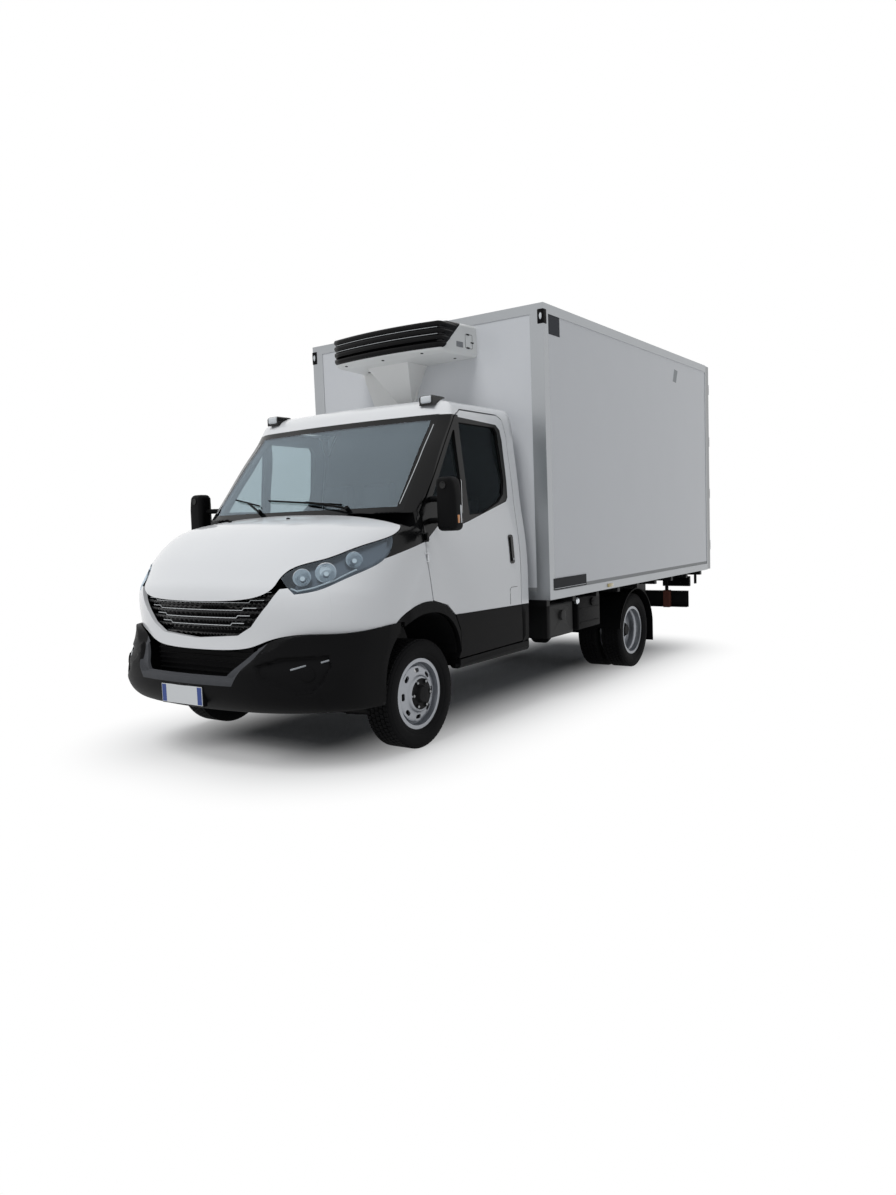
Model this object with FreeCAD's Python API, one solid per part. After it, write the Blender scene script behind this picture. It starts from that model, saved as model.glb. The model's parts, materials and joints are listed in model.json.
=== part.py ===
"""Light box truck with an insulated body and a cooling unit over the cab.

Millimetres, Z up, the truck faces -Y and its left side is +X. Every place along Y is given
from the front axle, rearward positive. The finished pieces are then set so that the origin
lies on the ground, half way along the truck.
"""
import FreeCAD, Part
import functools
import math
import os

V = FreeCAD.Vector

# Overall places
WHEELBASE = 3300.0
FRONT_REACH = 1062.0
OVERRUN = 60.0
SHUT_GAP = 6.0
DOOR_GAP = 11.0
DOOR_MEET = 8.0
SEAT_GAP = 0.3
SLACK_SHARE = 1e-6
PIN_CLEARANCE = 0.05

# Wheels
TYRE_RADIUS = 340.0
TYRE_WIDTH = 196.0
TREAD_WIDTH = 158.0
# Sidewall from bead to shoulder: share of the bulge against share of the height.
SIDEWALL_SHARES = ((0.0, 0.0), (0.0, 0.125), (0.72, 0.26), (1.0, 0.56), (0.74, 0.92))
RIM_SEAT = 205.0
RIM_FLANGE = 221.0
RIM_WELL = 186.0
RIM_HALF = 66.0
RIM_LIP = 8.0
RIM_WALL = 7.0
FRONT_WHEEL_X = 862.0
TWIN_OUTER_X = 886.0
TWIN_INNER_X = 656.0
DISC_REACH = 88.0
DISC_FOOT_SHARE = 0.25
DISC_KNEE_SHARE = 0.62
DISC_NECK_SHARE = 0.72
DISC_WAIST_SHARE = 0.125
HUB_CAP_SHARE = 0.8
TWIN_HUB_SHARE = 0.75
HUB_FACE_RADIUS = 112.0
HUB_RADIUS = 84.0
HUB_CAP_RADIUS = 58.0
HUB_CAP_REACH = 22.0
STUD_CIRCLE = 85.0
STUD_COUNT = 6
NUT_RADIUS = 14.0
NUT_HEIGHT = 16.0
VENT_CIRCLE = 146.0
VENT_RADIUS = 13.0
VENT_STRETCH = 22.0
VENT_COUNT = 8
SPINDLE_RADIUS = 30.0

# Steering and suspension
KINGPIN_X = 800.0
KINGPIN_RADIUS = 14.0
KNUCKLE_LOW = 222.0
KNUCKLE_HIGH = 462.0
KNUCKLE_DEPTH = 70.0
KNUCKLE_THICK = 44.0
LEVER_LENGTH = 126.0
ARM_THICK = 34.0
ARM_EYE_RADIUS = 34.0
ARM_ROOT_HALF = 27.0
ARM_TIP_HALF = 16.0
ARM_ROOT_X = 420.0
ARM_JOINT_GAP = 2.0
DAMPER_RADIUS = 28.0
DAMPER_X = 600.0
CROSS_BEAM_DEPTH = 240.0
CROSS_BEAM_HEIGHT = 120.0

# Ladder frame
RAIL_OUTSIDE = 430.0
RAIL_FLANGE = 62.0
RAIL_BOTTOM = 520.0
RAIL_TOP = 690.0
RAIL_WALL = 6.0
RAIL_FRONT = -860.0
RAIL_REAR = 4960.0
CROSS_RADIUS = 45.0
CROSS_PLACE_SHARES = (0.03, 0.278, 0.38, 0.49, 0.62, 0.80, 0.985)

# Rear axle and springs
AXLE_TUBE_RADIUS = 48.0
AXLE_BOWL_RADIUS = 165.0
AXLE_BOWL_THICK = 200.0
AXLE_THROAT_RADIUS = 115.0
AXLE_CONE_LENGTH = 170.0
SPRING_X = 505.0
SPRING_WIDTH = 70.0
SPRING_LEAF = 14.0
SPRING_LEAVES = 4
SPRING_HALF = 640.0
SPRING_CAMBER = 95.0
SPRING_STEP_SHARE = 0.2
HANGER_WIDTH = 80.0
HANGER_LENGTH = 90.0

# Engine and drive
ENGINE_FRONT = -620.0
ENGINE_REAR = 0.0
ENGINE_HALF = 300.0
ENGINE_LOW = 470.0
ENGINE_HIGH = 1120.0
ENGINE_CORNER = 40.0
ENGINE_FOOT_Y = -300.0
ENGINE_FOOT_LENGTH = 90.0
ENGINE_FOOT_LOW = 590.0
ENGINE_FOOT_HEIGHT = 40.0
GEARBOX_LENGTH = 620.0
GEARBOX_RADIUS = 118.0
GEARBOX_END_RADIUS = 85.0
DRIVE_Z = 490.0
PROP_RADIUS = 42.0
EXHAUST_RADIUS = 30.0
EXHAUST_X = 250.0
EXHAUST_Z = 450.0
EXHAUST_START_Z = 560.0
SILENCER_RADIUS = 95.0
SILENCER_FRONT = 1500.0
SILENCER_LENGTH = 560.0
EXHAUST_END = 2700.0

# Tank and side box
TANK_FRONT = 1480.0
TANK_LENGTH = 780.0
TANK_X = 470.0
TANK_WIDTH = 330.0
TANK_LOW = 400.0
TANK_HIGH = 680.0
TANK_CORNER = 50.0
SIDE_BOX_FRONT = 1640.0
SIDE_BOX_LENGTH = 420.0
SIDE_BOX_X = 560.0
SIDE_BOX_WIDTH = 420.0
SIDE_BOX_LOW = 470.0
SIDE_BOX_CORNER = 25.0
SIDE_CAP_RADIUS = 42.0
SIDE_CAP_HEIGHT = 18.0
BRACKET_THICK = 8.0
TANK_STAY_SHARES = (0.2, 0.8)

# Cab skin
CAB_HALF = 1003.0
CAB_REAR = 1290.0
CAB_ROOF = 2212.0
CAB_LOW = 400.0
SKIN_LOW = 200.0
CAB_WALL = 40.0
CAB_FLOOR = RAIL_TOP + SEAT_GAP + CAB_WALL
DOOR_WALL = 78.0
BONNET_WALL = 28.0
BONNET_HINGE_X = 300.0
BONNET_HINGE_Y = -136.0
BONNET_HINGE_DROP = 30.0
BONNET_EYE_HALF = 12.0
BONNET_EYE_RADIUS = 10.0
BONNET_PIN_RADIUS = 5.0
BONNET_ARM_LENGTH = 90.0
BONNET_EAR_GAP = 2.0
BONNET_EAR_THICK = 8.0
BONNET_EAR_FRONT = 7.0
BONNET_EAR_REACH = 40.0
COWL_GAP = 24.0
ROOF_CROWN = 22.0
NOSE_FRONT = -944.0
NOSE_DEPTH = 794.0
NOSE_HEIGHT = 1490.0
BONNET_HINGE_Z = NOSE_HEIGHT - BONNET_HINGE_DROP
NOSE_LOW = 380.0
SCREEN_FOOT_Y = -130.0
SCREEN_FOOT_DROP = 25.0
SCREEN_FOOT_Z = NOSE_HEIGHT - SCREEN_FOOT_DROP
SCREEN_HEAD_Y = 432.0
SCREEN_HEAD_Z = 2130.0
SCREEN_WRAP = 230.0
SCREEN_THICK = 6.0
# Plan curve of the nose: share of half width against share of nose depth.
NOSE_PLAN_SHARES = ((0.0, 0.0), (0.3, 0.024), (0.557, 0.098), (0.70, 0.188), (0.85, 0.333),
                    (0.94, 0.509), (0.985, 0.748), (1.0, 1.0), (1.012, 1.4))
# How far the bonnet falls toward its sides, as a share of the nose height.
NOSE_DROP_SHARES = (0.0, 0.003, 0.0095, 0.016, 0.027, 0.042, 0.072, 0.115, 0.18)
# Centre line of the nose and bonnet: share of nose depth, share of nose height.
NOSE_LINE_SHARES = ((0.024, 0.255), (0.014, 0.459), (0.018, 0.518), (0.0, 0.692), (0.018, 0.7248),
                    (0.047, 0.7497), (0.156, 0.829), (0.282, 0.8926), (0.421, 0.938),
                    (0.622, 0.967), (0.811, 0.981), (1.063, 0.9953), (1.35, 0.9990))
# How far a skin sinks or falls back for each length that it is drawn in.
NOSE_SINK_SHARE = 0.6
SCREEN_BACK_SHARE = 0.6
# Side of the cab seen from the front: share of half width at share of roof height.
CAB_SIDE_SHARES = ((0.960, 0.135), (0.982, 0.181), (0.995, 0.253), (1.0, 0.407), (0.998, 0.498),
                   (0.982, 0.588), (0.957, 0.669), (0.935, 0.768), (0.900, 0.915), (0.882, 0.965),
                   (0.850, 0.988), (0.780, 1.0), (0.5, 1.005))
ROOF_TURN_SHARE = 0.975
# Plan curve of the windscreen: share of half width against share of the wrap.
SCREEN_PLAN_SHARES = ((0.0, 0.0), (0.35, 0.045), (0.60, 0.157), (0.82, 0.330), (0.876, 0.45),
                      (0.94, 0.75), (1.01, 1.5))
# Places up the screen, and the roof as share of its length against share of its height.
SCREEN_LINE_SHARES = (-0.35, 0.0, 0.33, 0.66, 0.98)
ROOF_LINE_SHARES = ((0.035, 0.984), (0.10, 1.001), (0.22, 1.012), (0.55, 1.022))

# Lines over the nose, as shares of wheelbase along Y and of nose height along Z
BONNET_LINE_SHARES = ((-0.330, 0.6918), (-0.262, 0.6977), (-0.244, 0.7467), (-0.225, 0.7838),
                      (-0.188, 0.8135), (-0.145, 0.8477), (-0.092, 0.8774), (-0.048, 0.9071),
                      (-0.0227, 0.9433))
LAMP_LOW_SHARES = ((-0.330, 0.6977), (-0.252, 0.6859), (-0.223, 0.6963), (-0.188, 0.7274),
                   (-0.143, 0.7631), (-0.098, 0.8031), (-0.067, 0.8848))
LAMP_INNER_TOP = 588.0
LAMP_INNER_RISE = 112.0
LAMP_INNER_FOOT = 704.0
LAMP_INNER_DROP = 478.0
LAMP_INNER_LOW = NOSE_HEIGHT - LAMP_INNER_DROP
LAMP_INNER_HIGH = LAMP_INNER_LOW + LAMP_INNER_RISE
LAMP_DEPTH = 70.0
# Line where the painted panels meet the bumper.
BODY_LINE_SHARES = ((-0.290, 0.4721), (-0.272, 0.4840), (-0.262, 0.5122), (-0.206, 0.5344),
                    (-0.094, 0.5463), (-0.060, 0.5478))
DOOR_FRONT = 92.0
# Shut lines of the cab side, as shares of wheelbase along Y and of roof height along Z
BULKHEAD = 20.0
BROW_LOW = SCREEN_FOOT_Z + SEAT_GAP
DOOR_PIN_X = 1004.0
DOOR_PIN_Y = 58.0
DOOR_PIN_RADIUS = 4.0
DOOR_EYE_RADIUS = 8.0
DOOR_EYE_HALF = 20.0
DOOR_EAR_THICK = 8.0
DOOR_EAR_GAP = 1.0
DOOR_EAR_ROOT = 34.0
DOOR_EAR_DEPTH = 14.0
DOOR_LEAF_DEPTH = 10.0
DOOR_HINGE_SPACE = 13.0
DOOR_HINGE_LEVELS = (1185.0, 1310.0)
WAIST_SHARE = 0.648
DOOR_FRAME = 44.0
GLASS_INSET = 14.0
SILL_INSIDE = 860.0
SILL_FRONT = 376.0
LINER_WALL = 5.0
LINER_INSIDE = 570.0
LINER_OUTSIDE = 968.0
LINER_LOW = 600.0
CLADDING_WALL = 20.0
SCREEN_HALF_FOOT = 880.0
SCREEN_HALF_HEAD = 822.0
SCREEN_CORNER_RISE = 13.0
SCREEN_CORNER_FOOT = SCREEN_FOOT_Z + SCREEN_CORNER_RISE
SCREEN_CORNER_HEAD = 2112.0
GRILLE_OUTLINE_SHARES = ((0.0, 0.5174), (0.331, 0.5315), (0.433, 0.5671), (0.552, 0.6532),
                         (0.611, 0.7096), (0.70, 0.7148), (0.70, 0.8907))
DOOR_LINE_SHARES = ((0.0185, 0.581), (0.0185, 0.522), (0.030, 0.414), (0.076, 0.395),
                    (0.102, 0.363), (0.118, 0.315), (0.119, 0.252), (0.110, 0.231),
                    (0.362, 0.235), (0.358, 0.37), (0.360, 0.54), (0.362, 0.70), (0.362, 0.90),
                    (0.352, 0.955), (0.335, 0.968), (0.195, 0.968), (0.168, 0.945),
                    (0.0185, 0.660))
WINDOW_SHARES = ((0.181, 0.652), (0.181, 0.930), (0.318, 0.928), (0.327, 0.910), (0.330, 0.76),
                 (0.322, 0.715), (0.300, 0.690), (0.232, 0.655))
QUARTER_SHARES = ((0.052, 0.690), (0.163, 0.690), (0.163, 0.905), (0.158, 0.905))
ARCH_SHARES = ((-0.122, 0.18), (-0.118, 0.246), (-0.107, 0.289), (-0.083, 0.332),
               (-0.045, 0.365), (0.005, 0.381), (0.048, 0.376), (0.085, 0.350),
               (0.110, 0.300), (0.118, 0.250), (0.112, 0.18))
FLARE_WIDTH = 72.0
FLARE_PROUD = 3.0
CLADDING_TOP_SHARES = ((0.100, 0.363), (0.362, 0.356))
CLADDING_PROUD = 3.0
WING_SEAM = -680.0
SILL_LOW = 440.0
SILL_HIGH = 508.0
SILL_DEPTH = 90.0
GRILLE_HIGH = 1040.0
GRILLE_LOW = 772.0
GRILLE_RECESS = 60.0
GRILLE_BARS = 6
GRILLE_BAR_HEIGHT = 18.0
GRILLE_BAR_DEPTH = 26.0
GRILLE_PLATE = 12.0
GRILLE_REAR = -560.0
GRILLE_START_SHARE = 0.3

# Bumper
BUMPER_LOW = 350.0
BUMPER_WALL = 40.0
BUMPER_DEPTH = 640.0
BUMPER_HALF = 1000.0
BUMPER_HIGH = 830.0
BUMPER_REAR = -180.0
INTAKE_LOW = 572.0
INTAKE_HIGH = 712.0
INTAKE_HALF_LOW = 340.0
INTAKE_HALF_HIGH = 486.0
STEP_WIDTH = 60.0
STEP_DEPTH = 22.0
FOG_DEPTH = 24.0
# Fog lamp recess seen from the front: share of half width, share of bumper height.
FOG_SHARES = ((0.527, 0.600), (0.653, 0.681), (0.866, 0.692), (0.895, 0.567), (0.873, 0.406),
              (0.827, 0.281), (0.752, 0.258), (0.588, 0.433))
# Plan curve of the bumper: share of half width against share of its depth.
BUMPER_PLAN_SHARES = ((0.0, 0.0), (0.3, 0.028), (0.585, 0.127), (0.747, 0.258), (0.88, 0.434),
                      (0.96, 0.653), (1.0, 1.0))
# Front line of the bumper: share of depth back from the front at share of its height.
BUMPER_LINE_SHARES = ((0.24, 0.0), (0.055, 0.12), (0.008, 0.25), (0.0, 0.38), (0.010, 0.52),
                      (0.06, 0.62), (0.125, 0.80), (0.14, 1.0))

# Mirrors
MIRROR_INSIDE = 1076.0
MIRROR_OUTSIDE = 1216.0
MIRROR_FRONT = 46.0
MIRROR_DEPTH = 112.0
MIRROR_LOW = 1344.0
MIRROR_HIGH = 1672.0
MIRROR_ROUND = 34.0
MIRROR_ARM_HEIGHT = 30.0
MIRROR_ARM_DEPTH = 44.0
MIRROR_ARM_LEVELS = (1452.0, 1566.0)
MIRROR_ROOT = 930.0
MIRROR_ROOT_Y = 130.0
MIRROR_ROOT_SLOPE = 0.5

# Cab inside
DASH_HALF = 880.0
DASH_FRONT = 60.0
DASH_REAR = 440.0
DASH_LOW = 980.0
DASH_HIGH = 1385.0
DASH_SLOPE = 90.0
STEERING_X = 420.0
STEERING_Y = 560.0
STEERING_Z = 1330.0
STEERING_RADIUS = 205.0
STEERING_TUBE = 15.0
STEERING_TUBE_SIDES = 8
STEERING_BOSS_RADIUS = 60.0
STEERING_TILT = 28.0
COLUMN_LENGTH = 220.0
SEAT_FRONT = 640.0
SEAT_CUSHION_LENGTH = 470.0
SEAT_CUSHION_HIGH = 1080.0
SEAT_CUSHION_THICK = 150.0
SEAT_BACK_HEIGHT = 620.0
SEAT_BACK_THICK = 110.0
SEAT_HEAD_HEIGHT = 170.0
SEAT_HEAD_WIDTH = 260.0
SEAT_WIDTH = 480.0
BENCH_WIDTH = 860.0
DRIVER_X = 430.0
BENCH_X = -420.0
SEAT_BASE_SHARE = 0.8
SEAT_ROUND = 30.0
SEAT_LEAN_SHARE = 0.1

# Box body
BOX_FRONT = 1405.0
BOX_REAR = 5081.0
BOX_HALF = 1123.0
BOX_LOW = 801.0
BOX_HIGH = 2944.0
BOX_WALL = 78.0
BOX_FLOOR = 100.0
FLOOR_LINING = 12.0
REAR_POST = 40.0
REAR_FRAME_DEPTH = 100.0
REAR_SILL = 100.0
REAR_HEAD = 78.0
BOX_DOOR_THICK = 78.0
EDGE_PROUD = 4.0
EDGE_ROUND = 3.6
EDGE_ROOF_WIDTH = 66.0
EDGE_FLOOR_WIDTH = 60.0
EDGE_FRONT_WIDTH = 108.0
EDGE_REAR_WIDTH = 120.0
EDGE_WRAP_SHARE = 0.65
SUB_RAIL_WIDTH = 60.0
SUB_RAIL_SET = 75.0
SUB_RAIL_FRONT = BOX_FRONT + SUB_RAIL_SET
SUB_RAIL_REAR = BOX_REAR - SUB_RAIL_SET
SUB_CROSS_HEIGHT = 60.0
SUB_CROSS_WIDTH = 50.0
SUB_CROSS_COUNT = 9
SUB_CROSS_INSET = 73.0
SUB_CROSS_REACH = BOX_HALF - SUB_CROSS_INSET

# Rear doors of the box
HINGE_INSET = 13.0
HINGE_STAND = 19.0
HINGE_X = BOX_HALF - HINGE_INSET
HINGE_Y = BOX_REAR + HINGE_STAND
HINGE_RADIUS = 11.0
HINGE_PIN_RADIUS = 6.0
HINGE_HEIGHT = 60.0
HINGE_EAR = 20.0
HINGE_EAR_GAP = 1.0
HINGE_STRAP = 240.0
HINGE_STRAP_THICK = 7.0
HINGE_LEVEL_SHARES = (0.08, 0.36, 0.64, 0.92)
LOCK_ROD_RADIUS = 13.0
LOCK_ROD_STAND = 24.0
LOCK_ROD_X = 170.0
LOCK_BRACKET = 60.0
LOCK_HANDLE = 330.0
LOCK_HANDLE_SHARE = 0.22
LOCK_LEVEL_SHARES = (0.04, 0.30, 0.62, 0.96)

# Cooling unit
UNIT_HALF_WALL = 552.0
UNIT_HALF_FRONT = 506.0
UNIT_REACH = 467.0
UNIT_BOW = 52.0
UNIT_DROP = 76.0
UNIT_HEIGHT = 234.0
UNIT_HIGH = BOX_HIGH - UNIT_DROP
UNIT_LOW = UNIT_HIGH - UNIT_HEIGHT
UNIT_BROW = 32.0
UNIT_CHIN = 21.0
UNIT_HIGH_FRONT = UNIT_HIGH - UNIT_BROW
UNIT_LOW_FRONT = UNIT_LOW + UNIT_CHIN
UNIT_ROUND = 26.0
UNIT_MOUTH_HALF = 470.0
UNIT_MOUTH_FRAME = 14.0
UNIT_MOUTH_SILL = 17.0
UNIT_MOUTH_LOW = UNIT_LOW_FRONT + UNIT_MOUTH_SILL
UNIT_MOUTH_HIGH = UNIT_HIGH_FRONT - UNIT_MOUTH_FRAME
UNIT_MOUTH_DEPTH = 120.0
LOUVRES = 4
LOUVRE_HEIGHT = 20.0
LOUVRE_PLACE_SHARE = 0.35
DUCT_TOP_HALF = 200.0
DUCT_LOW_HALF = 70.0
DUCT_X = -120.0
DUCT_TOP_REACH = 250.0
DUCT_LOW_REACH = 40.0
DUCT_HEIGHT = 271.0
DUCT_LOW = UNIT_LOW - DUCT_HEIGHT
EVAPORATOR_HALF = 520.0
EVAPORATOR_DEPTH = 420.0
EVAPORATOR_HEIGHT = 190.0

# Rear equipment
GUARD_RADIUS = 392.0
GUARD_WALL = 8.0
GUARD_INSIDE = 545.0
GUARD_OUTSIDE = 1010.0
GUARD_FOOT_SHARE = 0.15
GUARD_STAY = 60.0
FLAP_LENGTH = 200.0
UNDERRUN_Y = 4990.0
UNDERRUN_DEPTH = 60.0
UNDERRUN_HALF = 890.0
UNDERRUN_LOW = 382.0
UNDERRUN_HIGH = 560.0
UNDERRUN_WALL = 6.0
UNDERRUN_STRAP_X = 400.0
UNDERRUN_STRAP_WIDTH = 60.0
UNDERRUN_STRAP_DEPTH = 12.0
UNDERRUN_FOOT = 24.0
REAR_LAMP_X = 760.0
REAR_LAMP_WIDTH = 300.0
REAR_LAMP_HEIGHT = 110.0
REAR_LAMP_DEPTH = 46.0
REAR_LAMP_LOW = 610.0
REAR_LAMP_INSET = 69.0
ROOF_LAMP_X = 720.0
ROOF_LAMP_WIDTH = 110.0
ROOF_LAMP_LENGTH = 150.0
ROOF_LAMP_HEIGHT = 34.0
ROOF_LAMP_ROUND = 23.0
ROOF_LAMP_Y = 486.0

REAR_REACH = BOX_REAR + LOCK_ROD_STAND + LOCK_ROD_RADIUS
MIDDLE = (REAR_REACH - FRONT_REACH) / 2


def block(x0, x1, y0, y1, z0, z1):
    """A box between two corners."""
    return Part.makeBox(x1 - x0, y1 - y0, z1 - z0, V(x0, y0, z0))


def rod(radius, start, end):
    """A round bar between two points."""
    a = V(*start)
    run = V(*end) - a
    return Part.makeCylinder(radius, run.Length, a, run)


def prism(points, axis, low, high):
    """A polygon in the plane across an axis, drawn out along it."""
    place = {"x": lambda a, b: V(low, a, b), "y": lambda a, b: V(a, low, b),
             "z": lambda a, b: V(a, b, low)}[axis]
    run = {"x": V(high - low, 0, 0), "y": V(0, high - low, 0), "z": V(0, 0, high - low)}[axis]
    corners = [place(a, b) for a, b in points]
    return Part.Face(Part.makePolygon(corners + corners[:1])).extrude(run)


def spline(points):
    """An open smooth edge through points."""
    curve = Part.BSplineCurve()
    curve.interpolate(points)
    return curve.toShape()


def joined(shapes):
    """Shapes fused into one."""
    first = shapes[0]
    return first.multiFuse(shapes[1:]).removeSplitter() if len(shapes) > 1 else first


def mirrored(shape):
    """The same shape on the other side of the truck."""
    return shape.mirror(V(0, 0, 0), V(1, 0, 0))


def pair(shape):
    """A left shape with its right twin."""
    return Part.makeCompound([shape, mirrored(shape)])


def rounded(shape, radius, choose):
    """The shape with the chosen edges filleted."""
    return shape.makeFillet(radius, [e for e in shape.Edges if choose(e)])


def along(edge, axis):
    """True where a straight edge runs along an axis."""
    if edge.Curve.TypeId != "Part::GeomLine":
        return False
    return abs(abs(getattr(edge.Curve.Direction, axis)) - 1) < SLACK_SHARE


def solids_of(shape):
    """The solids of a shape, the largest first."""
    return sorted(shape.Solids, key=lambda s: -s.Volume)


def save(name, shape):
    """Write one piece, moved so that the origin is half way along the truck."""
    placed = shape.copy()
    placed.translate(V(0, -MIDDLE, 0))
    parts = placed.Solids
    out = parts[0] if len(parts) == 1 else Part.makeCompound(parts)
    out.exportStep("parts/" + name + ".step")


# Wheels

def tyre(x):
    """Tyre as a revolved section with bulged sidewalls."""
    bead = RIM_HALF - SEAT_GAP
    bore = RIM_SEAT + SEAT_GAP
    bulge = TYRE_WIDTH / 2 - bead
    side = [(bead + b * bulge, bore + h * (TYRE_RADIUS - bore)) for b, h in SIDEWALL_SHARES]
    side.append((TREAD_WIDTH / 2, TYRE_RADIUS))
    section = [(x + a, r) for a, r in side] + [(x - a, r) for a, r in reversed(side)]
    return revolved(section)


def revolved(points):
    """A closed polygon of (x, radius) turned about the axle."""
    corners = [V(x, 0, r) for x, r in points]
    face = Part.Face(Part.makePolygon(corners + corners[:1]))
    return face.revolve(V(0, 0, 0), V(1, 0, 0), 360)


def barrel(x):
    """Rim barrel with flanges, bead seats and drop centre."""
    seat = RIM_HALF
    lip = RIM_HALF + RIM_LIP
    well = RIM_HALF / 2
    slope = RIM_HALF / 4
    outer = [(x - lip, RIM_FLANGE), (x - seat, RIM_FLANGE), (x - seat, RIM_SEAT),
             (x - well, RIM_SEAT), (x - well + slope, RIM_WELL), (x + well - slope, RIM_WELL),
             (x + well, RIM_SEAT), (x + seat, RIM_SEAT), (x + seat, RIM_FLANGE),
             (x + lip, RIM_FLANGE)]
    inner = [(x + lip, RIM_SEAT - RIM_WALL), (x + well, RIM_SEAT - RIM_WALL),
             (x + well - slope, RIM_WELL - RIM_WALL), (x - well + slope, RIM_WELL - RIM_WALL),
             (x - well, RIM_SEAT - RIM_WALL), (x - lip, RIM_SEAT - RIM_WALL)]
    return revolved(outer + inner)


def disc(x, reach):
    """Dished wheel disc from the barrel to the hub face, with its ring of vents."""
    start = x + reach * DISC_FOOT_SHARE
    neck = x + reach * DISC_NECK_SHARE
    knee = x + reach * DISC_KNEE_SHARE
    face = x + reach
    foot = RIM_WELL - RIM_WALL / 2 + RIM_LIP / 2
    waist = (foot + HUB_FACE_RADIUS) / 2 + RIM_WELL * DISC_WAIST_SHARE
    wall = math.copysign(RIM_WALL, reach)
    bore = SPINDLE_RADIUS + PIN_CLEARANCE
    points = [(start, foot), (knee, waist), (neck, HUB_FACE_RADIUS + RIM_LIP),
              (face, HUB_FACE_RADIUS - RIM_LIP), (face, bore), (face - wall, bore),
              (face - wall, HUB_FACE_RADIUS - RIM_LIP - RIM_WALL), (neck - wall, HUB_FACE_RADIUS),
              (knee - wall, waist - RIM_WALL / 2), (start - wall, foot)]
    holes = [vent(x - 2 * RIM_HALF, math.tau * i / VENT_COUNT) for i in range(VENT_COUNT)]
    return revolved(points).cut(Part.makeCompound(holes))


def vent(x, angle):
    """Oval bar that cuts one vent through the disc, at one place round it."""
    radial = V(0, math.cos(angle), math.sin(angle))
    across = V(0, -math.sin(angle), math.cos(angle))
    centre = V(x, 0, 0) + radial * VENT_CIRCLE
    half = across * (VENT_STRETCH / 2)
    tip = across * (VENT_STRETCH / 2 + VENT_RADIUS)
    out = radial * VENT_RADIUS
    edges = [Part.makeLine(centre - half + out, centre + half + out),
             Part.Arc(centre + half + out, centre + tip, centre + half - out).toShape(),
             Part.makeLine(centre + half - out, centre - half - out),
             Part.Arc(centre - half - out, centre - tip, centre - half + out).toShape()]
    return Part.Face(Part.Wire(edges)).extrude(V(4 * RIM_HALF, 0, 0))


def nuts(face_x, height):
    """Ring of wheel nuts standing on the hub face."""
    out = []
    for i in range(STUD_COUNT):
        a = math.tau * i / STUD_COUNT
        y = STUD_CIRCLE * math.cos(a)
        z = STUD_CIRCLE * math.sin(a)
        out.append(rod(NUT_RADIUS, (face_x, y, z), (face_x + height, y, z)))
    return out


def front_rim():
    """Front rim with hub, its disc standing outward."""
    x = FRONT_WHEEL_X
    face = x + DISC_REACH
    hub_inner = x - RIM_HALF / 2
    hub = revolved([(hub_inner, SPINDLE_RADIUS + PIN_CLEARANCE), (face, SPINDLE_RADIUS + PIN_CLEARANCE),
                    (face, HUB_RADIUS), (hub_inner, HUB_RADIUS)])
    cap = revolved([(face, 0), (face + HUB_CAP_REACH, 0),
                    (face + HUB_CAP_REACH, HUB_CAP_RADIUS * HUB_CAP_SHARE), (face, HUB_CAP_RADIUS)])
    return joined([barrel(x), disc(x, DISC_REACH), hub, cap] + nuts(face - RIM_WALL, NUT_HEIGHT))


def twin_rims():
    """Two rear rims back to back on one hub."""
    meet = (TWIN_OUTER_X + TWIN_INNER_X) / 2
    outer = disc(TWIN_OUTER_X, meet - TWIN_OUTER_X)
    inner = disc(TWIN_INNER_X, meet - TWIN_INNER_X)
    hub_end = TWIN_OUTER_X
    bore = SPINDLE_RADIUS + PIN_CLEARANCE
    hub = revolved([(TWIN_INNER_X, bore), (hub_end, bore), (hub_end, HUB_RADIUS * TWIN_HUB_SHARE),
                    (meet + RIM_WALL, HUB_RADIUS), (TWIN_INNER_X, HUB_RADIUS)])
    cap = revolved([(hub_end, 0), (hub_end + HUB_CAP_REACH, 0),
                    (hub_end + HUB_CAP_REACH, HUB_CAP_RADIUS * HUB_CAP_SHARE), (hub_end, HUB_CAP_RADIUS)])
    return joined([barrel(TWIN_OUTER_X), barrel(TWIN_INNER_X), outer, inner, hub, cap]
                  + nuts(meet, NUT_HEIGHT + RIM_WALL))


def wheel_pieces():
    """Rims and tyres of all four hubs."""
    front = V(0, 0, TYRE_RADIUS)
    rear = V(0, WHEELBASE, TYRE_RADIUS)
    shapes = {
        "rim_front": (front_rim(), front),
        "tyre_front": (tyre(FRONT_WHEEL_X), front),
        "rims_rear": (twin_rims(), rear),
        "tyres_rear": (Part.makeCompound([tyre(TWIN_OUTER_X), tyre(TWIN_INNER_X)]), rear),
    }
    for name, (shape, place) in shapes.items():
        shape.translate(place)
        save(name + "_left", shape)
        save(name + "_right", mirrored(shape))


# Steering and suspension

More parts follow.
